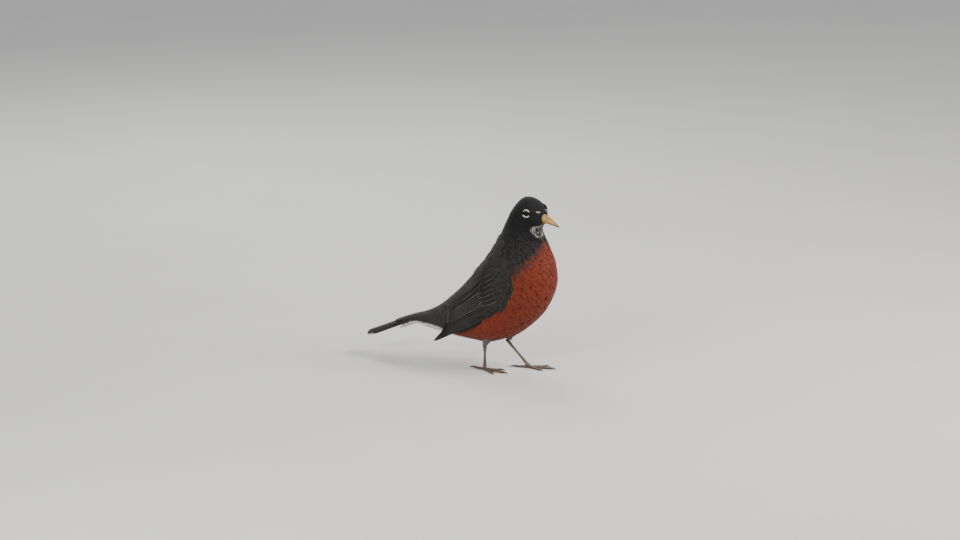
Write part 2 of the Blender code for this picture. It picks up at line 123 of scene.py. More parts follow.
# Rows of wing feathers from the lowest layer to the highest: name, count, then for the first and the last of
# the row the root and the tip as (along, across) on the wing, how far the tips bow out, width, share of the
# width on the outer web, lift at root and tip, and how much the tip is rounded and narrowed.
WING_ROWS = {
    "bed": (7, (0.02, 0.1), (0.02, 0.86), (0.74, 0.26), (0.7, 0.8), 0.0, 18.0, 0.5, -2.3, -1.7, 0.1, 0.2),
    "primary": (9, (0.1, 0.04), (0.22, 0.24), (0.95, 0.3), (0.8, 0.62), 0.1, 9.5, 0.3, -1.6, -0.4, 0.14, 0.5),
    "secondary":
        (6, (0.22, 0.34), (0.28, 0.6), (0.81, 0.62), (0.78, 0.82), 0.0, 11.0, 0.4, -1.3, -0.2, 0.1, 0.3),
    "tertial": (3, (0.26, 0.68), (0.26, 0.86), (0.77, 0.83), (0.6, 0.92), 0.0, 14.0, 0.5, -0.9, 0.0, 0.16, 0.3),
    "primary_covert":
        (7, (0.05, 0.03), (0.12, 0.22), (0.32, 0.09), (0.43, 0.36), 0.0, 6.5, 0.4, -1.1, -0.5, 0.12, 0.4),
    "alula": (3, (0.03, 0.0), (0.05, 0.09), (0.28, 0.05), (0.2, 0.14), 0.0, 7.0, 0.4, -0.7, -0.2, 0.12, 0.4),
    "greater_covert":
        (9, (0.1, 0.16), (0.1, 0.88), (0.44, 0.38), (0.36, 0.93), 0.02, 10.5, 0.45, -0.9, 0.0, 0.16, 0.3),
    "median_covert":
        (8, (0.02, 0.14), (0.04, 0.88), (0.27, 0.22), (0.24, 0.92), 0.02, 10.0, 0.5, -0.5, 0.15, 0.2, 0.2),
}

TAIL_ROOT, TAIL_PITCH = (-82.6, 45.6), -21.0
TAIL_LENGTH = 56.0
TAIL_HALF_WIDTH = (8.0, 15.0)
TAIL_FEATHER_WIDTH = 11.0
TAIL_ROOF = 6.5
TAIL_WHITE = (0.0, 0.0, 0.0, 0.0, 0.5, 1.0)  # of each feather's tip, from the middle one to the outermost

BILL_LENGTH = {"upper": 20.0, "lower": 18.4}
BILL_DEPTH = {"upper": 4.3, "lower": 3.2}
BILL_HALF_WIDTH = 4.0
BILL_PITCH = -18.0
BILL_DROP = 0.7

EYE_OPENING = 3.15
EYE_STRETCH = (1.05, 0.95)  # the opening is a little longer than it is high


def column(name):
    return np.array([row[COLUMNS.index(name)] for row in SECTIONS.values()], float)


def share_of(section, past=0.0):
    """Where a section lies, as u on the body's sheet: 0 at the bill base and 1 over the tail."""
    return 1 - (list(SECTIONS).index(section) + past) / (len(SECTIONS) - 1)


def between(rows, share):
    """The smooth curve through evenly spaced rows, at each share of its length."""
    rows = np.asarray(rows, float)
    rows = rows.reshape(len(rows), -1)
    at = np.clip(share, 0, 1) * (len(rows) - 1)
    i = np.minimum(at.astype(int), len(rows) - 2)
    f = (at - i)[..., None]
    ends = np.vstack([2 * rows[:1] - rows[1:2], rows, 2 * rows[-1:] - rows[-2:-1]])
    a, b, c, d = (ends[i + k] for k in range(4))
    return (2 * b + (c - a) * f + (2 * a - 5 * b + 4 * c - d) * f**2 + (3 * b - a - 3 * c + d) * f**3) / 2


def smooth(low, high, value):
    t = np.clip((value - low) / (high - low), 0, 1)
    return t * t * (3 - 2 * t)


def unit(vectors):
    return vectors / np.maximum(np.linalg.norm(vectors, axis=-1, keepdims=True), 1e-9)


def tree_of(points):
    """A tree that finds the nearest of some points."""
    tree = kdtree.KDTree(len(points))
    for index, p in enumerate(points):
        tree.insert(p, index)
    tree.balance()
    return tree


def round_neck(x, y, z, degrees):
    """Places that are turned to the left about the neck's axis, from which x is measured."""
    c, s = np.cos(np.radians(degrees)), np.sin(np.radians(degrees))
    return np.stack([x * c - y * s + NECK_AXIS.x, x * s + y * c, z], -1)


def mean_of_neighbours(grid):
    padded = np.pad(grid, 1, mode="edge")
    return (padded[:-2, 1:-1] + padded[2:, 1:-1] + padded[1:-1, :-2] + padded[1:-1, 2:]) / 4


def wing_nodes(*sides):
    return [f"wing_{side}_{part}" for side in sides for part in WING_PARTS]


# ---------------------------------------------------------------- sheets that feathers lie on


class Sheet:
    """A surface as a grid of points, with u along its rows, towards the feathers' tips, and v across them."""

    def __init__(self, points, closed, middle):
        self.points, self.closed = points, closed
        along = np.gradient(points, axis=0)
        if closed:
            across = (np.roll(points, -1, 1) - np.roll(points, 1, 1)) / 2
        else:
            across = np.gradient(points, axis=1)
        normals = unit(np.cross(across, along))
        self.turned = np.median(((points - middle) * normals).sum(-1)) < 0
        self.normals = -normals if self.turned else normals
        rows, columns = points.shape[:2]
        scale = (rows - 1, columns if closed else columns - 1)
        self.metric = np.stack([np.linalg.norm(d, axis=-1) * s for d, s in zip((along, across), scale)], -1)

    def sample(self, grid, u, v):
        """What a grid holds at places between its points."""
        rows, columns = grid.shape[:2]
        x = np.clip(u, 0, 1) * (rows - 1)
        y = (v % 1) * columns if self.closed else np.clip(v, 0, 1) * (columns - 1)
        i = np.minimum(x.astype(int), rows - 2)
        j = np.minimum(y.astype(int), columns - (1 if self.closed else 2))
        k = (j + 1) % columns
        f, g = (x - i)[..., None], (y - j)[..., None]
        low, high = (grid[row, j] * (1 - g) + grid[row, k] * g for row in (i, i + 1))
        return low * (1 - f) + high * f

    def at(self, u, v, lift):
        u, v, lift = np.broadcast_arrays(u, v, lift)
        return self.sample(self.points, u, v) + unit(self.sample(self.normals, u, v)) * lift[..., None]

    def scale(self, u, v):
        """Millimetres for each unit of u and of v at a place."""
        found = np.maximum(self.sample(self.metric, u, v), 0.5)
        return found[..., 0], found[..., 1]

    def locate(self, places):
        """The u and v nearest to each place, and how far away the sheet is there."""
        rows, columns = self.points.shape[:2]
        flat = self.points.reshape(-1, 3)
        tree = tree_of(flat)
        found = [tree.find(p) for p in places]
        index = np.array([f[1] for f in found])
        i, j = index // columns, index % columns
        off = places - flat[index]
        along = np.gradient(self.points, axis=0)[i, j]
        across = (np.roll(self.points, -1, 1) - np.roll(self.points, 1, 1))[i, j] / 2
        step = lambda d: np.clip((off * d).sum(-1) / np.maximum((d * d).sum(-1), 1e-9), -0.6, 0.6)
        return (i + step(along)) / (rows - 1), (j + step(across)) / columns, np.array([f[2] for f in found])


def body_column(name, u):
    """What a column of the sections' table gives at a place along the body's sheet."""
    return between(column(name), 1 - u)[..., 0]


def body_points(u, v):
    """The outline of head, neck and trunk. v is 0 on the back, 0.25 on the left and 0.5 on the belly."""
    shape = {name: body_column(name, u) for name in COLUMNS[:7]}
    back = np.stack([shape["back_x"], shape["back_z"]], -1)
    belly = np.stack([shape["belly_x"], shape["belly_z"]], -1)
    middle = back + (belly - back) * shape["widest"][..., None]
    around = 2 * pi * v
    reach = np.where(np.cos(around)[..., None] > 0, back - middle, middle - belly)
    place = middle + reach * np.cos(around)[..., None]
    x, y = place[..., 0] + FORWARD - NECK_AXIS.x, shape["half"] * np.sin(around)
    return round_neck(x, y, place[..., 1], shape["turn"])


def grid_of(rows, columns, closed):
    return np.meshgrid(np.linspace(0, 1, rows), np.linspace(0, 1, columns, endpoint=not closed), indexing="ij")


BODY_ROWS, BODY_COLUMNS = 420, 144
PUSH_REACH = 14.0  # how far out the drumsticks are looked for
PUSH_GROWN, PUSH_STEPS = 3, 70  # the raised place grows in the first steps, and is smoothed in the others


def body_sheet():
    """The outline of the body, raised a little where the drumsticks push out its feathers."""
    points = body_points(*grid_of(BODY_ROWS, BODY_COLUMNS, True))
    middle = points.mean(1, keepdims=True)
    bare = Sheet(points, True, middle)
    tree = cad_tree("thigh_right", "thigh_left")
    raised = np.zeros(points.shape[:2])
    low, high = (int(BODY_ROWS * share_of(name)) for name in ("breast", "rump"))
    for i, j in np.ndindex(high - low, BODY_COLUMNS):
        place, outward = Vector(points[low + i, j]), Vector(bare.normals[low + i, j])
        hit = tree.ray_cast(place + outward * PUSH_REACH, -outward, PUSH_REACH)[0]
        raised[low + i, j] = (hit - place).length if hit is not None else 0.0
    raised = np.minimum(raised, THIGH_PUSH)
    for step in range(PUSH_STEPS):
        ways = [raised] + [np.roll(raised, shift, axis) for axis in (0, 1) for shift in (1, -1)]
        raised = np.max(ways, axis=0) if step < PUSH_GROWN else sum(ways) / 5
    return Sheet(points + bare.normals * raised[..., None], True, middle)


def thigh_sheet(side):
    """The outline of a drumstick and, in its last third, of the top of the shank."""
    top, end = (np.array(p) + (FORWARD, 0, 0) for p in THIGHS[side])
    sole = np.array(SOLES[f"sole_{side}"]) + (0, 0, 3.4)
    shank = end + unit(sole - end) * 7.0
    u, v = grid_of(60, 48, True)
    down = unit(end - top)
    sideways = unit(np.cross(down, (0.0, 1.0, 0.0)))
    other = np.cross(down, sideways)
    radius = between((*THIGH_RADII, 2.1, 1.5), u)
    around = 2 * pi * v[..., None]
    bend = smooth(THIGH_END - 0.08, THIGH_END + 0.08, u)[..., None]
    thigh_part = top + (end - top) * (u / THIGH_END)[..., None]
    shank_part = end + (shank - end) * ((u - THIGH_END) / (1 - THIGH_END))[..., None]
    axis = thigh_part * (1 - bend) + shank_part * bend
    return Sheet(axis + radius * (sideways * np.cos(around) + other * np.sin(around)), True, axis)


def packed(*nodes):
    """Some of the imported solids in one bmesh, in millimetres."""
    bm = bmesh.new()
    for node in nodes:
        bm.from_mesh(frame["nodes"][node].data)
    bmesh.ops.scale(bm, vec=(1 / MM,) * 3, verts=bm.verts[:])
    return bm


def cad_tree(*nodes):
    """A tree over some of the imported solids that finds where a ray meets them."""
    bm = packed(*nodes)
    tree = BVHTree.FromBMesh(bm)
    bm.free()
    return tree


WING_SPAN = (-0.12, 1.30)  # the share across the wing that its sheet covers, and beyond it over the back
WING_FILLED, WING_SMOOTHED, WING_SUNK = 216, 4, 14  # rounds that fill the gaps, smooth all and sink the edge


def wing_sheet(side):
    """The outside of a folded wing and of the body next to it. u runs from the bend to the tip of the wing,
    and v from below its lower edge to over the back."""
    sign = SIDES[side]
    tree = cad_tree(*wing_nodes(side), "belly", "breast", "rump")
    u, v = grid_of(72, 48, False)
    low, high = between(WING_LOWER, u), between(WING_UPPER, u)
    across = WING_SPAN[0] + (WING_SPAN[1] - WING_SPAN[0]) * v
    place = low + (high - low) * across[..., None]
    width = np.full(u.shape, np.nan)
    for i, j in np.ndindex(u.shape):
        start = Vector((place[i, j, 0] + FORWARD, sign * 80.0, place[i, j, 1]))
        hit = tree.ray_cast(start, Vector((0.0, -sign, 0.0)))[0]
        if hit is not None and hit.y * sign > 0:
            width[i, j] = hit.y * sign
    known = ~np.isnan(width)
    width = np.where(known, width, np.nanmean(width))
    for _ in range(WING_FILLED):
        width = np.where(known, width, mean_of_neighbours(width))
    for _ in range(WING_SMOOTHED):
        width = mean_of_neighbours(width)
    for _ in range(WING_SUNK):  # the wing's upper edge sinks into the feathers of the back
        width = width + (mean_of_neighbours(width) - width) * smooth(0.72, 0.95, across)
    points = np.stack([place[..., 0] + FORWARD, width * sign, place[..., 1]], -1)
    return Sheet(points, False, np.array((0.0, 0.0, 70.0)))


def tail_sheet():
    """The top of the closed tail. u runs from under the coverts to the tip, and v from right to left."""
    u, v = grid_of(48, 24, False)
    pitch = radians(TAIL_PITCH)
    t = -0.35 + 1.37 * u
    w = 2 * v - 1
    half = TAIL_HALF_WIDTH[0] + (TAIL_HALF_WIDTH[1] - TAIL_HALF_WIDTH[0]) * np.clip(t, 0, 1) ** 0.8
    drop = TAIL_ROOF * w * w * smooth(-0.4, 0.3, t) - 1.4 * (1 - smooth(0, 1, t)) + 5.0 * smooth(0.2, -0.25, t)
    x = TAIL_ROOT[0] + FORWARD - cos(pitch) * TAIL_LENGTH * t - sin(pitch) * drop
    z = TAIL_ROOT[1] + sin(pitch) * TAIL_LENGTH * t - cos(pitch) * drop
    return Sheet(np.stack([x, half * w, z], -1), False, np.array((-60.0, 0.0, -100.0)))


# ---------------------------------------------------------------- markings


def head_place(points):
    """Places in the head's own frame, with its turn undone: forward, to the left and up from the eyes' line."""
    turn = Matrix.Rotation(-radians(HEAD_TURN), 3, "Z")
    low, high = (Vector(c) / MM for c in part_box("eye_left"))
    eye = turn @ ((low + high) / 2 - NECK_AXIS)
    return (points - np.array(NECK_AXIS)) @ np.array(turn).T - np.array((eye.x, 0.0, eye.z))


def body_markings(u, v, points):
    """Red, white, black and lightness at places on the body: where the plumage is brick red, where it is
    white, how black the rest is, and how far it is off its mean tone."""
    w = 1 - np.abs(1 - 2 * (v % 1))
    wave = 0.02 * np.sin(points[..., 2] * 0.7 + 3 * np.sin(points[..., 0] * 0.31)) * np.sign(points[..., 1])
    found = {name: body_column(name, u) for name in ("red", "white", "black")}
    red = smooth(-0.03, 0.03, w + wave - found["red"])
    white = smooth(-0.03, 0.03, w + 0.6 * wave - found["white"])
    forward, left, up = np.moveaxis(head_place(points), -1, 0)
    head = u < share_of("hindneck")
    # The throat is white with black streaks that run down it.
    streak = np.sin(2 * pi * left / 2.3 + 1.4 * np.sin(up * 0.36) + 0.9 * np.sin(forward * 0.55 + left))
    streak = streak - 0.55 + 0.6 * np.sin(left * 2.1 + up * 0.9) * np.sin(up * 0.55 - left * 0.8)
    behind = smooth(share_of("nape", -0.4), share_of("nape", 0.4), u)
    streak = streak + 1.3 * smooth(0.06, 0.02, w - found["white"]) * behind
    throat = head & (white > 0.01)
    white = np.where(throat, white * smooth(0.0, 0.6, streak), white)
    # A short white line runs from the bill to the front of the eye.
    line = np.exp(-(((forward - 8.0) / 2.0) ** 2) - ((up - 1.9 + 0.12 * forward) / 0.62) ** 2)
    white = np.maximum(white, np.where(head, smooth(0.3, 0.8, line), 0))
    return all_marks(red, white, found["black"], 0.0)


def thigh_markings(points):
    """Markings of the drumsticks: the flank's red at the top, then grey mixed with white."""
    height = points[..., 2]
    pale = 0.16 + 0.06 * np.sin(height * 1.7 + points[..., 0] * 0.9)
    return all_marks(smooth(34.0, 42.0, height), pale * smooth(42.0, 34.0, height), 0.05, 0.0)


def all_marks(*marks):
    """Four numbers or arrays as the stored numbers of each point or feather."""
    return np.stack(np.broadcast_arrays(*marks), -1)


# ---------------------------------------------------------------- feathers


def vane(columns, rows):
    """A flat closed vane, as corners (across from -1 to 1, along from 0 to 1, 0 above or -1 below) and faces.
    The upper side has a column of corners for each place across, and the lower side one, in its middle."""
    places = [*columns, 0.0]
    bm = bmesh.new()
    bmesh.ops.create_grid(bm, x_segments=len(places), y_segments=rows, size=0.5)
    for v in bm.verts:
        c = round((v.co.x + 0.5) * len(places)) % len(places)
        v.co = (places[c], v.co.y + 0.5, -1.0 if c == len(places) - 1 else 0.0)
    bmesh.ops.remove_doubles(bm, verts=bm.verts[:], dist=1e-5)
    bmesh.ops.holes_fill(bm, edges=bm.edges[:], sides=0)
    bmesh.ops.recalc_face_normals(bm, faces=bm.faces[:])
    bm.verts.index_update()
    corners = np.array([v.co for v in bm.verts])
    faces = [[v.index for v in f.verts] for f in bm.faces]
    bm.free()
    return corners, faces


SOFT_VANE = vane((-1.0, -0.8, -0.5, -0.2, 0.2, 0.5, 0.8, 1.0), 6)
STIFF_VANE = vane((-1.0, -0.55, -0.13, 0.0, 0.13, 0.55, 1.0), 14)
SMALL_VANE = vane((-1.0, -0.6, 0.0, 0.6, 1.0), 4)
TINY_VANE = vane((-1.0, -0.4, 0.4, 1.0), 3)
BARB = vane((-1.0, 1.0), 2)

PATCH = 0.003  # the size of a feather's patch on the OFBake map
PLAIN = (0.25, 0.7)  # the spot of the feathers' pattern that a whole loose barb has
MOST_TRIANGLES = 195_000


def web(l, widest, base, taper, power):
    """How wide a vane is along its length: it widens from its base and narrows again to its tip."""
    widened = base + (1 - base) * np.sin(pi / 2 * np.minimum(l / widest, 1))
    return np.where(l < widest, widened, 1 - taper * ((l - widest) / (1 - widest)) ** power)


def over_skin(v, u):
    """Where feathers' patches lie on the OFBake map: across and down the skin, off the map's edge."""
    return np.stack([v * 0.96 + 0.02, u * 0.96 + 0.02], -1)


class Plumage:
    """Feathers that are gathered into one mesh, with their markings and two UV maps: vane, which runs over
    each feather, and OFBake, which gives each feather a small patch at its root's place on the skin."""

    def __init__(self, name, cells=(1, 1)):
        self.name, self.batches, self.cells = name, [], cells

    def lay(self, sheet, shape, u, v, length, width, low, high, marks, map_at, **options):
        """Lays a feather at each root. low and high are its heights above the sheet at its root and its tip."""
        corners, faces = shape
        a, l, under = corners.T[:, None, :]
        count = len(u)
        per = lambda value: np.broadcast_to(np.asarray(value, float), (count,))[:, None]
        get = lambda name, default=0: per(options.get(name, default))
        u, v, length, width, low, high = map(per, (u, v, length, width, low, high))
        aside = a * web(l, get("widest", 0.6), 0.3, get("taper", 0.4), 2) * width / 2
        fray = np.random.default_rng(len(self.batches) + count).random((count, len(corners)))
        reach = l - get("rounded", 0.22) * a * a * l * l - (l > 0.99) * get("fringe") * fray
        twist = np.radians(get("twist"))
        along = reach * length * np.cos(twist) - aside * np.sin(twist)
        across = reach * length * np.sin(twist) + aside * np.cos(twist)
        whole_v = np.broadcast_to(v, along.shape)
        su = sheet.scale(u + along * 0.5 / sheet.scale(u, v)[0], whole_v)[0]
        at_u = u + along / su
        at_v = v + across / sheet.scale(at_u, whole_v)[1]
        rise = 1 - (1 - np.clip(l, 0, 1)) ** get("rise")
        lift = low + (high - low) * rise + get("camber") * (1 - a * a) * (0.3 + 0.7 * l)
        points = sheet.at(at_u, at_v, lift + get("tilt") * a + under * get("thick"))
        if callable(marks):
            marks = marks(u, v, at_u, at_v)
        vane_map = np.stack(np.broadcast_arrays((a + 1) / 2, l), -1)
        patch = PATCH * (np.stack([vane_map[..., 0], l + 0.2 * under], -1) - 0.5)
        if options.get("plain"):
            vane_map = 0 * vane_map + PLAIN
        self.gather(points, faces, sheet.turned, marks, vane_map, map_at[:, None, :] + patch)

    def gather(self, points, faces, turned, marks, vane_map, bake_map):
        count, each = points.shape[:2]
        marks = np.broadcast_to(np.asarray(marks, float).reshape(count, -1, 4), (count, each, 4))
        vane_map = np.broadcast_to(vane_map, (count, each, 2))
        self.batches.append((points, faces, turned, marks, vane_map, bake_map))

    def lay_stiff(self, sheet, root, tip, width, outer, low, high, rounded, taper, marks, slope=0.06):
        """Lays flight feathers from root to tip, each (u, v). Its outer edge, on the side of a negative width,
        lies over the feather before it, and from there it slopes down. Each fills a cell of the map."""
        count = len(root[0])
        corners, faces = STIFF_VANE
        a, l, under = corners.T[:, None, :]
        u0, v0, u1, v1 = (np.asarray(x)[:, None] for x in (*root, *tip))
        reach = l - rounded * a * a * l**5
        at_u, middle = u0 + (u1 - u0) * reach, v0 + (v1 - v0) * reach
        aside = a * web(l, 0.4, 0.8, taper, 3) * width * np.where(a < 0, outer, 1 - outer)
        at_v = middle + aside / sheet.scale(at_u, middle)[1]
        shaft = 0.2 * np.maximum(1 - np.abs(a) / 0.2, 0) * (1 - 0.6 * l)
        lift = low + (high - low) * smooth(0.2, 0.6, l) - slope * np.abs(aside + width * outer)
        lift = lift + shaft + under * 0.16
        index = np.arange(count) + sum(len(batch[0]) for batch in self.batches)
        cell = np.stack([index % self.cells[0], index // self.cells[0]], -1)[:, None, :]
        patch = 0.03 + 0.94 * np.stack([(a + 1) / 2, 0.06 + 0.94 * l + 0.05 * under], -1)
        vane_map = np.stack(np.broadcast_arrays((a + 1) / 2, l), -1)
        turned = sheet.turned != (width < 0)
        self.gather(sheet.at(at_u, at_v, lift), faces, turned, marks, vane_map, (cell + patch) / self.cells)

    def build(self, finish, slot, replaced=()):
        """The gathered feathers as one finished piece."""
        sizes, corners, first = [], [], 0
        for points, faces, turned, *_ in self.batches:
            count, each = points.shape[:2]
            flat = np.array([i for f in faces for i in (f if turned else f[::-1])])
            sizes.append(np.tile([len(f) for f in faces], count))
            corners.append((flat[None, :] + (first + np.arange(count) * each)[:, None]).ravel())
            first += count * each
        stores = zip(*((points, *rest) for points, _, _, *rest in self.batches))
        points, marks, vane_map, bake_map = (np.vstack([a.reshape(-1, a.shape[-1]) for a in s]) for s in stores)
        corners, sizes = np.concatenate(corners), np.concatenate(sizes)
        triangles = int((sizes - 2).sum())
        if triangles > MOST_TRIANGLES:
            raise RuntimeError(f"{self.name} has {triangles} triangles")
        mesh = bpy.data.meshes.new(self.name)
        mesh.vertices.add(len(points))
        mesh.vertices.foreach_set("co", (points * MM).ravel())
        mesh.loops.add(len(corners))
        mesh.loops.foreach_set("vertex_index", corners)
        mesh.polygons.add(len(sizes))
        mesh.polygons.foreach_set("loop_start", np.concatenate([[0], np.cumsum(sizes)[:-1]]))
        mesh.update(calc_edges=True)
        mesh.validate()
        for name, values in (("OFBake", bake_map), ("vane", vane_map)):
            mesh.uv_layers.new(name=name).uv.foreach_set("vector", values[corners].ravel())
        mesh.attributes.new("marks", "FLOAT_COLOR", "POINT").data.foreach_set("color", marks.ravel())
        mesh.shade_smooth()
        mesh.set_sharp_from_angle(angle=radians(80))
        return add_piece(self.name, mesh, finish, replaced)


def scatter(sheet, apart, wanted, seed, tries=70_000, even=True):
    """Roots where they are wanted on a sheet: at least apart() from each other, or, if not even, at random."""
    rng = np.random.default_rng(seed)
    u, v = rng.random(tries * 3), rng.random(tries * 3)
    su, sv = sheet.scale(u, v)
    weight = su * sv / apart(u, v) ** 2
    kept = wanted(u, v) & (rng.random(len(u)) < weight / np.quantile(weight, 0.99))
    u, v = u[kept][:tries], v[kept][:tries]
    if not even:
        return u, v
    points, radii = sheet.at(u, v, 0), apart(u, v)
    tree = tree_of(points)
    free = np.ones(len(points), bool)
    chosen = []
    for i, p in enumerate(points):
        if free[i]:
            chosen.append(i)
            for _, j, _ in tree.find_range(p, radii[i]):
                free[j] = False
    return u[chosen], v[chosen]


# ---------------------------------------------------------------- finished pieces


def add_piece(name, source, finish, replaced=()):
    """Adds a mesh, or a bmesh in millimetres, as a finished piece of the bird."""
    if isinstance(source, bmesh.types.BMesh):
        bmesh.ops.scale(source, vec=(MM,) * 3, verts=source.verts[:])
        mesh = bpy.data.meshes.new(name)
        source.to_mesh(mesh)
        source.free()
        mesh.shade_smooth()
    else:
        mesh = source
    mesh.materials.clear()
    mesh.materials.append(finish)
    piece = bpy.data.objects.new(name, mesh)
    bpy.context.scene.collection.objects.link(piece)
    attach(piece, "root")
    if replaced:
        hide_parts(*replaced)
    return piece


def sleeve(rows, columns, place):
    """A closed bmesh: a grid rolled up across its columns, with its two ends filled."""
    bm = bmesh.new()
    bmesh.ops.create_grid(bm, x_segments=columns, y_segments=rows, size=0.5)
    flat = np.array([v.co for v in bm.verts]) + 0.5
    for v, p in zip(bm.verts, place(flat[:, 1], flat[:, 0])):
        v.co = p
    bmesh.ops.remove_doubles(bm, verts=bm.verts[:], dist=1e-4)
    bmesh.ops.holes_fill(bm, edges=bm.edges[:], sides=0)
    bmesh.ops.recalc_face_normals(bm, faces=bm.faces[:])
    return bm


def with_modifiers(bm, *steps):
    """The bmesh after some modifiers, each given as its type and settings."""
    mesh = bpy.data.meshes.new("worked")
    bm.to_mesh(mesh)
    bm.free()
    worked = bpy.data.objects.new("worked", mesh)
    bpy.context.scene.collection.objects.link(worked)
    for kind, settings in steps:
        modifier = worked.modifiers.new(kind.lower(), kind)
        for key, value in settings.items():
            setattr(modifier, key, value)
    result = bmesh.new()
    result.from_object(worked, bpy.context.evaluated_depsgraph_get())
    bpy.data.objects.remove(worked)
    bpy.data.meshes.remove(mesh)
    return result


def copy_of(*nodes):
    """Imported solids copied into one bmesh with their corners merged."""
    bm = packed(*nodes)
    bmesh.ops.remove_doubles(bm, verts=bm.verts[:], dist=1e-3)
    return bm


def fused(bm, voxel, rounds):
    """One smooth closed shape out of the overlapping ones of a bmesh."""
    smoothed = {"factor": 0.5, "iterations": rounds}
    return with_modifiers(bm, ("REMESH", {"mode": "VOXEL", "voxel_size": voxel}), ("SMOOTH", smoothed))


def mark_points(bm, values):
    """Stores the four numbers that the finishes read for each point of a bmesh."""
    layer = bm.verts.layers.float_color.new("marks")
    for v, value in zip(bm.verts, values):
        v[layer] = value


# ---------------------------------------------------------------- finishes


class Field:
    """A socket of a finish's nodes, with arithmetic that adds Math nodes."""

    def __init__(self, finish, socket):
        self.finish, self.socket = finish, socket

    def math(self, operation, *values):
        node = self.finish.node("ShaderNodeMath", {"operation": operation}, enumerate(values))
        return Field(self.finish, node.outputs[0])

    def __add__(self, other):
        return self.math("ADD", self, other)

    def __sub__(self, other):
        return self.math("SUBTRACT", self, other)

    def __rsub__(self, other):
        return self.math("SUBTRACT", other, self)

    def __mul__(self, other):
        return self.math("MULTIPLY", self, other)

    __radd__, __rmul__ = __add__, __mul__

    def sine(self):
        return self.math("SINE", self)

    def size(self):
        return self.math("ABSOLUTE", self)

    def smooth(self, low, high):
        sockets = {"Value": self, "From Min": low, "From Max": high}
        node = self.finish.node("ShaderNodeMapRange", {"interpolation_type": "SMOOTHSTEP"}, sockets)
        return Field(self.finish, node.outputs[0])


class Finish:
    """A material made of nodes round one Principled shader."""

    def __init__(self, name, **constants):
        self.material = bpy.data.materials.new(name)
        self.material.use_nodes = True
        self.nodes, self.links = self.material.node_tree.nodes, self.material.node_tree.links
        self.shader = self.nodes["Principled BSDF"]
        for label, value in constants.items():
            self.shader.inputs[label.replace("_", " ")].default_value = value

    def node(self, kind, settings=None, sockets=()):
        """A node with its settings and then its sockets, as values or as fields to link."""
        made = self.nodes.new(kind)
        for key, value in (settings or {}).items():
            setattr(made, key, value)
        for key, value in dict(sockets).items():
            self.feed(made.inputs[key], value)
        return made

    def feed(self, socket, value):
        if isinstance(value, (Field, bpy.types.NodeSocket)):
            self.links.new(getattr(value, "socket", value), socket)
        else:
            socket.default_value = value

    def field(self, kind, settings=None, sockets=(), output=0):
        return Field(self, self.node(kind, settings, sockets).outputs[output])

    def mix(self, factor, a, b, blend="MIX"):
        a, b = ((*x, 1.0) if isinstance(x, (tuple, list)) and len(x) == 3 else x for x in (a, b))
        settings = {"data_type": "RGBA", "blend_type": blend}
        return self.field("ShaderNodeMix", settings, {0: factor, 6: a, 7: b}, 2)

    def grey(self, value):
        """A field as a grey colour."""
        return self.field("ShaderNodeCombineColor", None, {0: value, 1: value, 2: value})

    def noise(self, scale, detail=2.0):
        place = self.node("ShaderNodeTexCoord").outputs["Object"]
        return self.field("ShaderNodeTexNoise", None, {"Scale": scale, "Detail": detail, "Vector": place})

    def marks(self):
        """The four stored numbers of a piece as fields."""
        attribute = self.node("ShaderNodeAttribute", {"attribute_name": "marks"})
        split = self.node("ShaderNodeSeparateColor", None, {0: attribute.outputs["Color"]})
        return [Field(self, s) for s in (*split.outputs[:3], attribute.outputs["Alpha"])]

    def vane(self):
        """Where a point is across and along its own feather."""
        vane_map = self.node("ShaderNodeUVMap", {"uv_map": "vane"}).outputs[0]
        split = self.node("ShaderNodeSeparateXYZ", None, {0: vane_map})
        return [Field(self, s) for s in split.outputs[:2]]

    def set(self, label, value):
        self.feed(self.shader.inputs[label], value)

    def shaded(self, colour, shade):
        """Sets the base colour, made lighter or darker by a field."""
        self.set("Base Color", self.mix(1.0, colour, self.grey(shade), "MULTIPLY"))

    def bump(self, height, distance, strength=1.0):
        sockets = {"Height": height, "Distance": distance, "Strength": strength}
        self.set("Normal", self.node("ShaderNodeBump", None, sockets).outputs[0])


def colour_of(name):
    return tuple(getattr(bpy.context.scene.robin, name))


def finish(**constants):
    """Turns a function that lays out a finish into one that gives its material, and makes it only once."""

    def named(lay_out):
        def given():
            name = lay_out.__name__
            if name not in bpy.data.materials:
                lay_out(Finish(name, **constants))
            return bpy.data.materials[name]

        return given

    return named


def plumage_colour(f, red, white, black, tone):
    colour = f.mix(black, colour_of("slate"), colour_of("black"))
    colour = f.mix(red, colour, colour_of("red"))
    colour = f.mix(white, colour, colour_of("white"))
    mottle = f.noise(260.0, 3.0).smooth(0.25, 0.75) * 0.3 + 0.85
    return f.mix(1.0, colour, f.grey(mottle * (tone + 1.0)), "MULTIPLY")


@finish(Roughness=0.72, Sheen_Weight=0.08, Sheen_Roughness=0.45, Specular_IOR_Level=0.18)
def contour_plumage(f):
    """Soft body feathers: barbs run out from a faint shaft, and the tips are looser and a little paler."""
    red, white, black, tone = f.marks()
    across, along = f.vane()
    side = (across - 0.5).size()
    barbs = ((along * 150.0) - (side * 110.0) + f.noise(900.0) * 4.0).sine()
    shaft = 1.0 - side.smooth(0.0, 0.06)
    colour = plumage_colour(f, red, white, black, tone)
    shade = barbs * 0.08 + (1.0 - shaft * 0.10) + along.smooth(0.75, 1.0) * 0.06
    f.shaded(colour, shade - (1.0 - along.smooth(0.1, 0.5)) * 0.12)
    f.bump(barbs * 0.5 + shaft, 0.00003, 0.7)


BARE_SHADE = (0.82, 0.82, 0.82)  # the skin's colour as a share of the feathers'


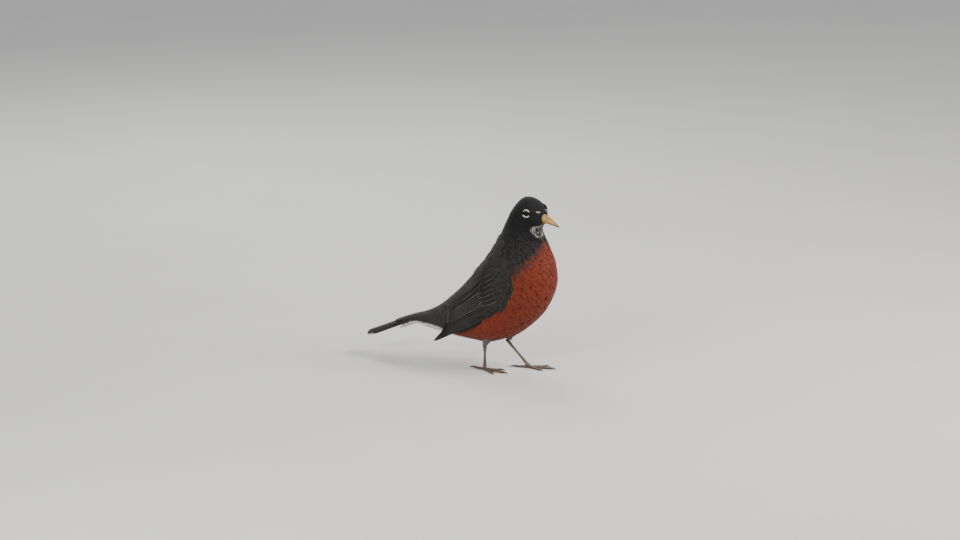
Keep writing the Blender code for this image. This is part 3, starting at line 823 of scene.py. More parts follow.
@finish(Roughness=0.8, Specular_IOR_Level=0.2)
def bare_plumage(f):
    """The skin below the feathers, in the same markings and darker."""
    red, white, black, tone = f.marks()
    f.set("Base Color", f.mix(1.0, plumage_colour(f, red, white, black, tone), BARE_SHADE, "MULTIPLY"))
    f.bump(f.noise(1400.0, 4.0), 0.0002, 0.8)


@finish(Roughness=0.5, Sheen_Weight=0.03, Specular_IOR_Level=0.15)
def stiff_plumage(f):
    """Stiff feathers of wing and tail, with paler outer edges, a dark shaft and fine barbs."""
    edge, white, _, tone = f.marks()
    across, along = f.vane()
    side = (across - 0.5).size()
    barbs = ((along * 400.0) - (side * 90.0)).sine()
    outer = (1.0 - across.smooth(0.01, 0.08)) * along.smooth(0.12, 0.3)
    tip = along.smooth(0.97, 1.0)
    shaft = 1.0 - side.smooth(0.0, 0.035)
    colour = f.mix(f.noise(90.0).smooth(0.3, 0.7) * 0.5, colour_of("flight"), colour_of("black"))
    colour = f.mix((outer + tip * 0.6) * edge, colour, colour_of("edge"))
    colour = f.mix(white * (along + across * 0.05).smooth(0.89, 0.95), colour, colour_of("white"))
    f.shaded(colour, barbs * 0.07 + (tone + 1.0) - shaft * 0.3)
    f.set("Roughness", 0.58 - shaft * 0.12 + f.noise(300.0) * 0.1)
    f.bump(barbs * 0.4 + shaft * 1.5, 0.00008, 0.7)


@finish(Roughness=0.34, Coat_Weight=0.25, Coat_Roughness=0.2, Specular_IOR_Level=0.5)
def bill_horn(f):
    """Horn of the bill: yellow, dusky on the ridge and at the tip, with growth lines."""
    along, ridge, nostril, _ = f.marks()
    dusk = (along + f.noise(400.0) * 0.12).smooth(0.62, 0.98) + ridge * 0.35
    colour = f.mix(dusk.math("MINIMUM", dusk, 0.92), colour_of("bill"), colour_of("bill_tip"))
    colour = f.mix(f.noise(500.0, 3.0).smooth(0.4, 0.8) * 0.35, colour, colour_of("bill_tip"))
    # The nostrils are painted near black: painted shade that stands for the depth of their openings, which the
    # shallow dent does not have.
    f.set("Base Color", f.mix(nostril, colour, (0.01, 0.007, 0.005)))
    f.bump((along * 90.0).sine() * 0.3 + f.noise(900.0, 3.0), 0.00006, 0.5)


@finish(Roughness=0.42, Specular_IOR_Level=0.45)
def leg_scales(f):
    """Scaled skin of shank and toes, darker in the grooves."""
    groove, under, _, _ = f.marks()
    grain = f.noise(1800.0, 3.0)
    colour = f.mix(grain.smooth(0.3, 0.7) * 0.5, colour_of("leg"), colour_of("leg_dark"))
    colour = f.mix(groove * 0.7, colour, colour_of("leg_dark"))
    f.set("Base Color", f.mix(under * 0.5, colour, (0.16, 0.10, 0.05)))
    f.set("Roughness", groove * 0.25 + 0.4)
    f.bump(grain, 0.00012, 0.6)


@finish(Roughness=0.3, Coat_Weight=0.2)
def claw_gloss(f):
    """Smooth dark horn of the claws."""
    f.set("Base Color", f.mix(f.noise(1200.0, 3.0).smooth(0.3, 0.8), colour_of("claw"), (0.06, 0.045, 0.035)))
    f.bump(f.noise(2500.0, 2.0), 0.00005, 0.4)


@finish(Roughness=0.02, Specular_IOR_Level=0.16)
def eye_gloss(f):
    """A wet eye: black pupil, very dark brown iris with fine rays, and a dark rim."""
    _, ring, _, _ = f.marks()
    rays = f.noise(900.0, 3.0).smooth(0.3, 0.7)
    iris = f.mix(rays * 0.6, colour_of("iris"), (0.008, 0.004, 0.002))
    colour = f.mix(ring.smooth(0.40, 0.44), (0.002, 0.002, 0.002), iris)
    f.set("Base Color", f.mix(ring.smooth(0.78, 0.86), colour, (0.004, 0.003, 0.003)))


@finish(Roughness=0.85, Specular_IOR_Level=0.2)
def studio_floor(f):
    """Pale floor with a very faint mottle."""
    f.shaded(colour_of("floor"), f.noise(7.0, 4.0).smooth(0.2, 0.8) * 0.03 + 0.97)
    f.bump(f.noise(900.0, 2.0), 0.0001, 0.3)


# ---------------------------------------------------------------- settings


def colour(name, description, default):
    return bpy.props.FloatVectorProperty(
        name=name, description=description, default=default, subtype="COLOR", size=3, min=0.0, max=1.0
    )


def number(name, description, default, least, most, unit="NONE"):
    return bpy.props.FloatProperty(
        name=name, description=description, default=default, min=least, max=most, unit=unit
    )


class RobinSettings(bpy.types.PropertyGroup):
    """Colours and sizes of the robin."""

    black: colour("Head", "Sooty black of the head", (0.0065, 0.0060, 0.0065))
    # The back's slate is partly the plumage's own dark grey and partly painted shade: it is kept darker than
    # the real slate so that the upper parts look as if they lie in shadow.
    slate: colour("Back", "Slate grey-brown of the back", (0.027, 0.024, 0.022))
    red: colour("Breast", "Brick red of the breast", (0.14, 0.022, 0.009))
    white: colour("White", "White of eye ring, throat, vent and tail tips", (0.60, 0.57, 0.52))
    # The flight feathers' blackish brown is partly their own colour and partly painted shade: it is darker than
    # the real feathers so that wings and tail look as if they lie in shadow.
    flight: colour("Flight feathers", "Blackish brown of wings and tail", (0.017, 0.015, 0.014))
    edge: colour("Feather edges", "Grey-brown edges of the wing feathers", (0.110, 0.095, 0.085))
    bill: colour("Bill", "Yellow horn of the bill", (0.430, 0.215, 0.032))
    bill_tip: colour("Bill tip", "Dusky tip and ridge of the bill", (0.050, 0.034, 0.020))
    leg: colour("Legs", "Horn brown of the legs", (0.105, 0.066, 0.044))
    leg_dark: colour("Leg grooves", "Dark brown between the scales", (0.030, 0.020, 0.015))
    claw: colour("Claws", "Black horn of the claws", (0.018, 0.014, 0.012))
    iris: colour("Iris", "Very dark brown of the iris", (0.016, 0.007, 0.0035))
    floor: colour("Floor", "Pale floor", (0.62, 0.61, 0.59))
    feather_length: number("Feather length", "Body feathers' length, in distances between them", 3.8, 1.5, 5.0)
    feather_width: number("Feather width", "Body feathers' width, in distances between them", 2.3, 1.0, 3.0)
    ruffle: number("Ruffle", "How unevenly the body feathers lie", 1.0, 0.0, 3.0)
    skin_voxel: number("Skin detail", "Size of the skin's cells", 0.0009, 0.0004, 0.003, "LENGTH")
    key_power: number("Key light", "Power of the soft main light", 26.0, 0.0, 1000.0, "POWER")


# ---------------------------------------------------------------- skin


def eye_frame(side):
    """The middle of an eye, its radius, and directions outward, forward and up, as rows of a matrix."""
    low, high = (Vector(c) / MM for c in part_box(f"eye_{side}"))
    turn = Matrix.Rotation(radians(HEAD_TURN), 3, "Z")
    outward = turn @ Vector((0.0, SIDES[side], 0.0))
    forward = turn @ Vector((1.0, 0.0, 0.0))
    return (low + high) / 2, (high.z - low.z) / 2, Matrix((outward, forward, Vector((0.0, 0.0, 1.0))))


def put_in_head(bm, side):
    """Moves what was made round the origin, looking up, to an eye's place and direction."""
    centre, _, (outward, forward, up) = eye_frame(side)
    turn = Matrix((forward, up, outward)).transposed().to_4x4()
    bmesh.ops.transform(bm, matrix=Matrix.Translation(centre) @ turn, verts=bm.verts[:])
    bmesh.ops.recalc_face_normals(bm, faces=bm.faces[:])


LID_FROM, LID_SWEEP = 43, 40  # the margin and the reach of an eyelid, in degrees from the eye's own axis
LID_THICKNESS = 0.62


def eyelids(side):
    """A thin ring of skin round the eyeball with a rounded margin, as a closed bmesh."""
    radius = eye_frame(side)[1]
    share = np.linspace(0, 1, 11)
    polar = np.radians(LID_FROM + LID_SWEEP * share)
    ring = np.stack([np.sin(polar), np.cos(polar)], -1)
    inner = (radius + 0.05) * ring
    outer = (radius + LID_THICKNESS - 0.22 * smooth(0.0, 0.3, share))[:, None] * ring
    margin = (inner[0] + outer[0]) / 2 + (-0.22, 0.05)
    bm = bmesh.new()
    verts = [bm.verts.new((r, 0.0, h)) for r, h in (margin, *outer, *inner[::-1])]
    edges = [bm.edges.new((a, b)) for a, b in zip(verts, verts[1:] + verts[:1])]
    turn = {"axis": (0, 0, 1), "cent": (0, 0, 0), "angle": 2 * pi, "steps": 56, "use_merge": True}
    bmesh.ops.spin(bm, geom=verts + edges, **turn)
    bmesh.ops.scale(bm, vec=(*EYE_STRETCH, 1.0), verts=bm.verts[:])
    put_in_head(bm, side)
    return bm


SKIN_DEPTH = 0.9  # how deep the skin lies, as a share of the coat's depth


class ROBIN_OT_skin(bpy.types.Operator):
    """One skin for head, neck, trunk and drumsticks, with eyelids"""

    bl_idname = "robin.skin"
    bl_label = "Skin"

    def execute(self, context):
        body = body_sheet()
        thighs = [thigh_sheet(side) for side in SIDES]
        end = share_of("tail_root")
        bm = sleeve(150, 84, lambda u, v: body.at(u * end, v, -SKIN_DEPTH * body_column("coat", u * end)))
        mesh = bpy.data.meshes.new("thigh")
        for thigh in thighs:
            drumstick = sleeve(24, 28, lambda u, v: thigh.at(THIGH_END * u, v, -2.2 + 1.7 * u))
            drumstick.to_mesh(mesh)
            bm.from_mesh(mesh)
            drumstick.free()
        bm = fused(bm, context.scene.robin.skin_voxel / MM, 4)
        helpers = []
        for side in SIDES:
            centre, radius, _ = eye_frame(side)
            ball = bmesh.new()
            bmesh.ops.create_uvsphere(ball, u_segments=48, v_segments=32, radius=radius + 0.03)
            bmesh.ops.translate(ball, verts=ball.verts[:], vec=centre)
            for made, operation in ((ball, "DIFFERENCE"), (eyelids(side), "UNION")):
                cutter = bpy.data.objects.new("cutter", bpy.data.meshes.new("cutter"))
                made.to_mesh(cutter.data)
                made.free()
                context.scene.collection.objects.link(cutter)
                helpers.append((cutter, operation))
        steps = [("BOOLEAN", {"object": c, "operation": o, "solver": "EXACT"}) for c, o in helpers]
        bm = with_modifiers(bm, *steps)
        for cutter, _ in helpers:
            bpy.data.objects.remove(cutter)
        points = np.array([v.co for v in bm.verts])
        places = np.array([sheet.locate(points) for sheet in (body, *thighs)])
        near_body = places[0, 2] < SKIN_DEPTH * body_column("coat", places[0, 0]) + 0.6
        part = np.where(near_body, 0, 1 + (places[1, 2] > places[2, 2]))
        u, v = places[part, 0, np.arange(len(points))], places[part, 1, np.arange(len(points))]
        marks = body_markings(places[0, 0], places[0, 1], points)
        mark_points(bm, np.where(part[:, None] > 0, thigh_markings(points), marks))
        # The trunk's map fills the left of the square, and the drumsticks' maps the right.
        corner = np.array([(0.02, 0.02), (0.84, 0.02), (0.84, 0.52)])
        size = np.array([(0.78, 0.96), (0.14, 0.46), (0.14, 0.46)])
        layer = bm.loops.layers.uv.new("OFBake")
        for face in bm.faces:
            first = face.verts[0].index
            here = part[first]
            for loop in face.loops:
                at = loop.vert.index
                found = (u[at], v[at]) if part[at] == here else (places[here, 0, at], places[here, 1, at])
                around = v[first] + (found[1] - v[first] + 0.5) % 1 - 0.5
                loop[layer].uv = corner[here] + size[here] * (np.clip(around, 0, 1), np.clip(found[0], 0, 1))
        nodes = ("rump", "belly", "breast", "neck", "head", "thigh_right", "thigh_left")
        add_piece("skin", bm, bare_plumage(), nodes)
        return {"FINISHED"}


# ---------------------------------------------------------------- eyes and bill


CORNEA_RISE = 0.35


class ROBIN_OT_eyes(bpy.types.Operator):
    """Two wet dark eyes with a raised cornea"""

    bl_idname = "robin.eyes"
    bl_label = "Eyes"

    def execute(self, context):
        for side in SIDES:
            radius = eye_frame(side)[1]
            bm = bmesh.new()
            bmesh.ops.create_uvsphere(bm, u_segments=64, v_segments=48, radius=radius)
            marks = []
            for v in bm.verts:
                ring = Vector((v.co.x, v.co.y)).length / radius
                front = v.co.z > 0
                marks.append((0.0, ring * 0.9 if front else 1.0, 0.0, 0.0))
                if front:
                    v.co.z += CORNEA_RISE * float(smooth(0.62, 0.2, ring))
            mark_points(bm, marks)
            put_in_head(bm, side)
            add_piece(f"eyeball_{side}", bm, eye_gloss(), (f"eye_{side}",))
        return {"FINISHED"}


def bill_points(part, share, around):
    """One half of the bill. around runs over its outside from one cutting edge to the other, up to 0.7, and
    back across its flat inside."""
    upper = part == "upper"
    depth = BILL_DEPTH[part] * (1 - share**1.7) + 0.25
    half = BILL_HALF_WIDTH * (1 - share) ** 0.95 + 0.22
    angle = pi * np.minimum(around / 0.7, 1)
    inside = np.clip((around - 0.7) / 0.3, 0, 1)
    to_side = np.cos(angle)
    bulge = half * np.sign(to_side) * np.abs(to_side) ** (0.86 if upper else 1.0)
    y = np.where(inside > 0, -half * (1 - 2 * inside), bulge)
    height = np.where(inside > 0, 0.25 * np.sin(pi * inside), np.sin(angle) * depth)
    ridge = np.exp(-((to_side / 0.25) ** 2)) * (inside <= 0)
    height = height + 0.25 * ridge * (1 - share) * upper
    # The nostril mask dents the side a little, and in the bill's finish it marks the painted shade of the
    # opening.
    nostril = np.exp(-(((share - 0.24) / 0.07) ** 2) - ((np.abs(to_side) - 0.80) / 0.13) ** 2)
    nostril = nostril * (inside <= 0) * upper
    y = y * (1 - 0.16 * nostril)
    edge = (BILL_DEPTH["lower"] - BILL_DEPTH["upper"]) / 2
    pitch = radians(BILL_PITCH)
    base = SECTIONS["bill_base"]
    reach = share * BILL_LENGTH[part] * (1 - 0.03 * np.abs(to_side))
    x = (base[0] + base[2]) / 2 + FORWARD - NECK_AXIS.x + cos(pitch) * reach - 1.6 * (share < 0.001)
    z = (base[1] + base[3]) / 2 + sin(pitch) * reach + edge - BILL_DROP * share**3
    z = z + (height + 0.05) * (1 if upper else -1)
    return round_neck(x, y, z, HEAD_TURN), all_marks(share, ridge, nostril, 0.0)


class ROBIN_OT_bill(bpy.types.Operator):
    """The two halves of the bill, with ridge and nostrils"""

    bl_idname = "robin.bill"
    bl_label = "Bill"

    def execute(self, context):
        for part in BILL_LENGTH:
            bm = sleeve(44, 48, lambda share, around: bill_points(part, share, around)[0])
            points, marks = (a.reshape(-1, a.shape[-1]) for a in bill_points(part, *grid_of(45, 49, False)))
            tree = tree_of(points)
            mark_points(bm, [marks[tree.find(v.co)[1]] for v in bm.verts])
            add_piece(f"{part}_bill", bm, bill_horn(), (f"bill_{part}",))
        return {"FINISHED"}


# ---------------------------------------------------------------- body feathers

TONE_SPREAD = 0.06  # how much feathers differ in lightness
REGIONS = {  # piece: from u, to u, slot
    "head_feathers": (0.0, share_of("nape", -0.3), "black_plumage"),
    "neck_feathers": (share_of("nape", -0.3), share_of("mantle", 0.3), "slate_plumage"),
    "breast_feathers": (share_of("mantle", 0.3), share_of("back", -0.2), "red_plumage"),
    "belly_feathers": (share_of("back", -0.2), share_of("rump", 0.2), "red_plumage"),
    "rump_feathers": (share_of("rump", 0.2), 1.0, "slate_plumage"),
}


FULL_VANES = {"rounded": 0.3, "widest": 0.7, "taper": 0.15, "fringe": 0.05, "rise": 3.0}
LOOSE_BARBS = {"rounded": 0.0, "widest": 0.5, "taper": 0.85, "rise": 1.5, "plain": True}
BODY_LAYERS = (
    # shape, seed, tries, then as shares of the distance apart: how low the roots are (None for the coat's own
    # depth), how high the tips are and by how much that varies, tilt, camber and thickness. Last, how much
    # the pieces stray, how much paler they are, which for the loose barbs is painted light that offsets their
    # shadows, and their outline.
    (SOFT_VANE, 11, 70_000, None, 0.0, 0.01, 0.012, 0.02, 0.03, 1.0, 0.0, FULL_VANES),
    # The loose barbs are 0.05 paler: painted light that offsets the shadows that darken them.
    (BARB, 13, 12_000, 0.12, 0.02, 0.01, 0.004, 0.0, 0.02, 1.6, 0.05, LOOSE_BARBS),
)
BARB_LENGTH, BARB_WIDTH = 1.5, 0.14  # in distances between the full feathers
WING_ABOVE = 9.0  # the most that a wing stands above the feathers that it hides


def body_apart(u, v):
    return body_column("apart", u)


class ROBIN_OT_body_feathers(bpy.types.Operator):
    """Contour feathers over head, neck and trunk, with loose barbs over them"""

    bl_idname = "robin.body_feathers"
    bl_label = "Body feathers"

    def execute(self, context):
        settings = context.scene.robin
        body = body_sheet()
        sizes = (settings.feather_length, settings.feather_width), (BARB_LENGTH, BARB_WIDTH)
        coats = {name: Plumage(name) for name in REGIONS}
        for layer, size in zip(BODY_LAYERS, sizes):
            self.lay_layer(body, coats, layer, size, settings.ruffle)
        for name, (_, _, slot) in REGIONS.items():
            coats[name].build(contour_plumage(), slot)
        return {"FINISHED"}

    def lay_layer(self, body, coats, layer, size, ruffle):
        shape, seed, tries, low, high, uneven, tilt, camber, thick, stray, paler, outline = layer
        full = shape is SOFT_VANE
        end = share_of("tail_base", 0.6)  # the coat ends in a slightly wavy row over the tail
        last_row = lambda v: end - 0.015 * np.sin(2 * pi * v) ** 2 + 0.012 * np.sin(90 * v)
        wanted = lambda u, v: (u > 0.006) & (u < last_row(v))
        apart = body_apart if full else lambda u, v: np.sqrt(body_apart(u, v))
        u, v = scatter(body, apart, wanted, seed, tries, full)
        rng = np.random.default_rng(seed + 1)
        length = body_apart(u, v) * size[0] * rng.uniform(0.85, 1.15, len(u))
        keep = ~(self.under_wing(body, u, v, length) | self.over_eye(body, u, v, length))
        u, v, length = u[keep], v[keep], length[keep]
        for name, (first, last, _) in REGIONS.items():
            here = (u >= first) & (u < last)
            root = u[here], v[here]
            near = body_apart(*root)
            # The tone's mean is the layer's paleness: for the loose barbs, painted light against their own
            # shadows.
            tone = rng.normal(paler, TONE_SPREAD, here.sum())[:, None]
            lifted, turned, tilted = rng.normal(0, 1, (3, here.sum())) * ruffle * stray

            def marks(u, v, at_u, at_v):
                root, point = (body_markings(a, b, body.at(a, b, 0)) for a, b in ((u, v), (at_u, at_v)))
                return all_marks((root[..., 0] + point[..., 0]) / 2, point[..., 1], root[..., 2], tone)

            coats[name].lay(
                body,
                SMALL_VANE if full and name == "head_feathers" else shape,
                *root,
                length[here],
                near * size[1],
                -low * near if low else -body_column("coat", root[0]),
                near * (high + uneven * lifted),
                marks,
                over_skin(root[1], (root[0] - first) / (last - first)),
                twist=4.5 * turned,
                tilt=tilt * near * tilted,
                camber=camber * near,
                thick=thick * near,
                **outline,
            )

    def over_eye(self, body, u, v, length):
        """Which feathers would lie over an eye."""
        points, tips = body.at(u, v, 0), body.at(u + length / body.scale(u, v)[0], v, 0)
        over = np.zeros(len(u), bool)
        for side in SIDES:
            centre, _, axes = eye_frame(side)
            for share in (0.0, 0.35, 0.7, 1.0):
                local = (points + (tips - points) * share - np.array(centre)) @ np.array(axes).T
                over |= (local[:, 0] > 0) & (np.hypot(local[:, 1], local[:, 2]) < EYE_OPENING + 1.1)
        return over

    def under_wing(self, body, u, v, length):
        """Which feathers lie wholly under a folded wing."""
        tree = cad_tree(*wing_nodes(*SIDES))
        hidden = np.ones(len(u), bool)
        su, sv = body.scale(u, v)
        for along, across in ((0.0, 0.0), (1.0, 0.0), (1.1, 5.0), (1.1, -5.0), (0.3, 4.0), (0.3, -4.0)):
            at_u, at_v = u + along * length / su, v + across / sv
            starts, outward = body.at(at_u, at_v, -0.5), body.sample(body.normals, at_u, at_v)
            for i in np.flatnonzero(hidden):
                hit = tree.ray_cast(Vector(starts[i]), Vector(outward[i]), WING_ABOVE)[0]
                hidden[i] = hit is not None
        return hidden


RING_ROWS, RING_COUNT = 7, 64  # rows round an eye, and feathers in each
RING_APART = 0.13  # the distance between rows, as a share of the sheet
RING_SLOPE = 1.25  # the steepest fall from the eyelid to the head
FAR_BELOW = -9.0
HEAD_ROWS = 150  # rows of the body's sheet that reach past the eyes


class ROBIN_OT_eye_rings(bpy.types.Operator):
    """Tiny feathers round the eyes, white above and below"""

    bl_idname = "robin.eye_rings"
    bl_label = "Eye rings"

    def execute(self, context):
        head = self.head_tree(body_sheet())
        for side, sign in SIDES.items():
            sheet = self.ring_sheet(head, side)
            plumage = Plumage(f"eye_ring_{side}")
            rng = np.random.default_rng(5 + sign)
            for row in range(RING_ROWS):
                start, length = RING_APART * max(row - 0.6, 0), 0.95 + 0.18 * row
                at = (np.arange(RING_COUNT) + 0.5 * (row % 2) + rng.uniform(-0.2, 0.2, RING_COUNT)) / RING_COUNT
                height = np.sin(2 * pi * at)
                white = smooth(0.45, 0.62, np.abs(height)) * (row < 2)
                marks = all_marks(0.0, white, 1.0, rng.normal(0, 0.08, RING_COUNT))
                # The first rows point away from the eye, and the others to the back of the head.
                swept = height * 40 * (0.2 + 0.13 * row) if row < 2 else 180 - 360 * at
                ahead = np.maximum(np.cos(2 * pi * at), 0) * (row > 1)
                root = np.minimum(start + ahead * length / sheet.scale(0 * at + start, at)[0], 0.98)
                plumage.lay(
                    sheet,
                    TINY_VANE,
                    root,
                    at,
                    length * rng.uniform(0.9, 1.1, RING_COUNT) * (1 + 0.35 * ahead),
                    0.55 + 0.08 * row,
                    -0.12,
                    0.22 - 0.02 * row,
                    marks,
                    np.stack([at * 0.96 + 0.02, 0 * at + 0.04 + 0.15 * row], -1),
                    twist=swept,
                    camber=0.04,
                    thick=0.05,
                    rise=2.0,
                )
            plumage.build(contour_plumage(), "black_plumage")
        return {"FINISHED"}

    def head_tree(self, body):
        """A tree over the head's outline that finds where a ray meets it."""
        points = [Vector(p) for p in body.points[:HEAD_ROWS].reshape(-1, 3)]
        faces = []
        for i, j in np.ndindex(HEAD_ROWS - 1, BODY_COLUMNS):
            beside = (j + 1) % BODY_COLUMNS
            corners = (i, j), (i, beside), (i + 1, beside), (i + 1, j)
            faces.append([row * BODY_COLUMNS + column for row, column in corners])
        return BVHTree.FromPolygons(points, faces)

    def ring_sheet(self, head, side):
        """The surface round an eye, from over the eyelids down to the head. u runs outwards."""
        centre, radius, axes = eye_frame(side)
        outward, forward, up = (np.array(a) for a in axes)
        u, v = grid_of(24, 64, True)
        around = 2 * pi * v
        reach = EYE_OPENING - 0.1 + u * (3.4 + 2.1 * np.maximum(np.cos(around), 0))
        points = np.zeros((*u.shape, 3))
        above = np.full(u.shape[1], FAR_BELOW)
        for i, j in np.ndindex(u.shape):
            r = reach[i, j]
            ahead, aloft = cos(around[i, j]) * EYE_STRETCH[0], sin(around[i, j]) * EYE_STRETCH[1]
            flat = np.array(centre) + r * (forward * ahead + up * aloft)
            hit = head.ray_cast(Vector(flat + outward * 20), Vector(-outward))[0]
            height = (np.array(hit) - flat) @ outward if hit is not None else 2.5
            lid = np.sqrt((radius + 0.58) ** 2 - r * r) if r < radius - 0.2 else FAR_BELOW
            fall = RING_SLOPE * (r - reach[max(i - 1, 0), j])
            above[j] = max(float(height) - 0.2, lid, above[j] - fall)
            points[i, j] = flat + outward * above[j]
        return Sheet(points, True, np.array(centre) - outward * 20)


class ROBIN_OT_thigh_feathers(bpy.types.Operator):
    """Short soft feathers over the drumsticks"""

    bl_idname = "robin.thigh_feathers"
    bl_label = "Thigh feathers"

    def execute(self, context):
        body = body_sheet()
        for side in SIDES:
            sheet = thigh_sheet(side)
            apart = lambda u, v: 2.4 - 1.5 * u
            u, v = scatter(sheet, apart, lambda u, v: (u > 0.1) & (u < THIGH_END - 0.02), 31, 20000)
            tips = sheet.at(u + 6.0 / sheet.scale(u, v)[0], v, 0.0)
            near_u, near_v, _ = body.locate(tips)
            above = (tips - body.at(near_u, near_v, 0)) * body.sample(body.normals, near_u, near_v)
            # Higher up, and inside the body's outline, its own feathers cover the drumstick.
            outside = (above.sum(-1) > 1.0) & (sheet.at(u, v, 0)[:, 2] < 41.0)
            u, v = u[outside], v[outside]
            rng = np.random.default_rng(32)
            count = len(u)
            size = apart(u, v)
            marks = thigh_markings(sheet.at(u, v, 0))
            marks[:, 1] *= rng.uniform(0.6, 1.1, count)
            marks[:, 3] = rng.normal(0, 0.05, count)
            plumage = Plumage(f"thigh_feathers_{side}")
            plumage.lay(
                sheet,
                SOFT_VANE,
                u,
                v,
                np.minimum(size * 3.1, (THIGH_END + 0.07 - u) * sheet.scale(u, v)[0]),
                size * 1.8,
                -1.3 * (1 - 0.6 * u) - 2.2 * smooth(0.3, 0.1, u),
                rng.normal(0.15, 0.05, count),
                marks,
                over_skin(v, u),
                twist=rng.normal(0, 6, count),
                camber=0.05 * size,
                thick=0.04 * size,
                fringe=0.08,
                rise=2.4,
            )
            plumage.build(contour_plumage(), "slate_plumage")
        return {"FINISHED"}


# ---------------------------------------------------------------- wings and tail


def across_wing(q):
    return (q - WING_SPAN[0]) / (WING_SPAN[1] - WING_SPAN[0])


def scapulars_apart(u, v):
    return 3.4 + 0 * u


PALE_EDGES = {"bed": 0.0, "primary": 0.6, "alula": 0.6}  # how pale a row's outer edges are, if not fully
SLOPES = {"primary": 0.11, "tertial": 0.16}  # how steeply a row's feathers slope to their inner edges
SCAPULAR_LENGTH, SCAPULAR_WIDTH = 12.0, 7.4
SMALL_COVERT = {"fringe": 0.05, "rounded": 0.4, "taper": 0.2, "widest": 0.7, "rise": 3.0, "thick": 0.08}


class ROBIN_OT_wings(bpy.types.Operator):
    """Folded wings: flight feathers, coverts and scapulars"""

    bl_idname = "robin.wings"
    bl_label = "Wings"

    def execute(self, context):
        for side in SIDES:
            sheet = wing_sheet(side)
            plumage = Plumage(f"wing_feathers_{side}", (8, 7))
            rng = np.random.default_rng(41)
            for name, (count, root_0, root_1, tip_0, tip_1, bow, *shape) in WING_ROWS.items():
                t = np.linspace(0, 1, count)[:, None]
                root = np.array(root_0) * (1 - t) + np.array(root_1) * t
                tip = np.array(tip_0) * (1 - t) + np.array(tip_1) * t
                tip[:, 0] += bow * np.sin(pi * t[:, 0])
                ends = [(end[:, 0], across_wing(end[:, 1])) for end in (root, tip)]
                marks = all_marks(PALE_EDGES.get(name, 1.0), 0.0, 0.0, rng.normal(0, TONE_SPREAD, count))
                plumage.lay_stiff(sheet, *ends, *shape, marks, SLOPES.get(name, 0.06))
            plumage.build(stiff_plumage(), "flight_plumage", wing_nodes(side))
            self.small_coverts(sheet, side)
        return {"FINISHED"}

    def small_coverts(self, sheet, side):
        """Lesser coverts over the bend of the wing, and scapulars over its upper edge."""
        plumage = Plumage(f"wing_coverts_{side}")
        rng = np.random.default_rng(43)
        across = lambda v, low, high: (v > across_wing(low)) & (v < across_wing(high))
        apart = lambda u, v: 2.4 + 6.0 * u
        u, v = scatter(sheet, apart, lambda u, v: (u < 0.18) & across(v, 0.0, 1.02), 44, 9000)
        size, place = apart(u, v), np.stack([0.02 + 0.96 * v, 0.02 + 0.3 * u / 0.18], -1)
        lift = (-1.6, 0.3, 0.02)
        self.lay_coverts(plumage, sheet, u, v, size * 3.2, size * 2.1, lift, 0.25, 0.08, place, rng)
        u, v = scatter(sheet, scapulars_apart, lambda u, v: (u < 0.36) & across(v, 0.84, 1.0), 45, 9000)
        self.scapulars(plumage, sheet, u, v, 0.45, np.stack([0.02 + 0.96 * v, 0.35 + 0.3 * u / 0.36], -1), rng)
        body = body_sheet()
        first, last = share_of("mantle", 0.4), share_of("back", -0.6)
        around = lambda v: np.where(v < 0.5, v, 1 - v)
        shoulder = lambda v: (around(v) > 0.06) & (around(v) < 0.15) & ((v < 0.5) == (side == "left"))
        u, v = scatter(body, scapulars_apart, lambda u, v: (u > first) & (u < last) & shoulder(v), 46, 60000)
        place = np.stack([0.02 + 5 * around(v), 0.68 + 0.3 * (u - first) / (last - first)], -1)
        self.scapulars(plumage, body, u, v, 1.1, place, rng)
        plumage.build(contour_plumage(), "slate_plumage")

    def scapulars(self, plumage, sheet, u, v, high, place, rng):
        """Longer feathers of the shoulder, which cover the wing's upper edge."""
        tone = rng.normal(0, 0.07, len(u))
        length = SCAPULAR_LENGTH * rng.uniform(0.9, 1.1, len(u))
        lift = (-1.8, high, 0.03)
        self.lay_coverts(plumage, sheet, u, v, length, SCAPULAR_WIDTH, lift, 0.3, 0.1, place, rng, tone)

    def lay_coverts(self, plumage, sheet, u, v, length, width, lift, black, camber, place, rng, tone=None):
        """Lays soft feathers with tips that are lifted unevenly. lift is its low end, its high end and by how
        much that varies."""
        low, high, uneven = lift
        tone = rng.normal(0, 0.07, len(u)) if tone is None else tone
        high = high + uneven * rng.normal(0, 1, len(u))
        looks = {"twist": rng.normal(0, 4, len(u)), "camber": camber, **SMALL_COVERT}
        marks = all_marks(0.0, 0.0, black, tone)
        plumage.lay(sheet, SOFT_VANE, u, v, length, width, low, high, marks, place, **looks)


class ROBIN_OT_tail(bpy.types.Operator):
    """Twelve tail feathers, the outer ones tipped with white"""

    bl_idname = "robin.tail"
    bl_label = "Tail"

    def execute(self, context):
        sheet = tail_sheet()
        plumage = Plumage("tail_feathers", (4, 3))
        for sign in SIDES.values():
            for i in range(5, -1, -1):  # from the outermost, which lies lowest, to the middle one
                root = 0.5 + sign * (0.02 + 0.055 * i)
                tip = 0.5 + sign * (0.06 + 0.061 * i)
                end = 0.965 + 0.012 * sin(pi * i / 5) - 0.02 * (i == 5)
                marks = np.array([[0.4, TAIL_WHITE[i], 0.0, 0.02 * i - 0.04]])
                ends = ([0.13], [root]), ([end], [tip])
                outer, low, high = 0.48 - 0.035 * i, -0.25 * i - 0.1, -0.2 * i - 0.05
                plumage.lay_stiff(sheet, *ends, -sign * TAIL_FEATHER_WIDTH, outer, low, high, 0.045, 0.2, marks)
        plumage.build(stiff_plumage(), "flight_plumage", ("tail_right", "tail_left"))
        return {"FINISHED"}


# ---------------------------------------------------------------- legs


LEG_VOXEL = 0.25
ANKLE_RADIUS = 2.35
TOES_JOIN_AT = 2.4  # how high the joint is from which the toes spread
TOE_SCALE, SHANK_SCALE = 1.75, 4.2  # the length of one scale
SCALE_HEIGHT = 0.10


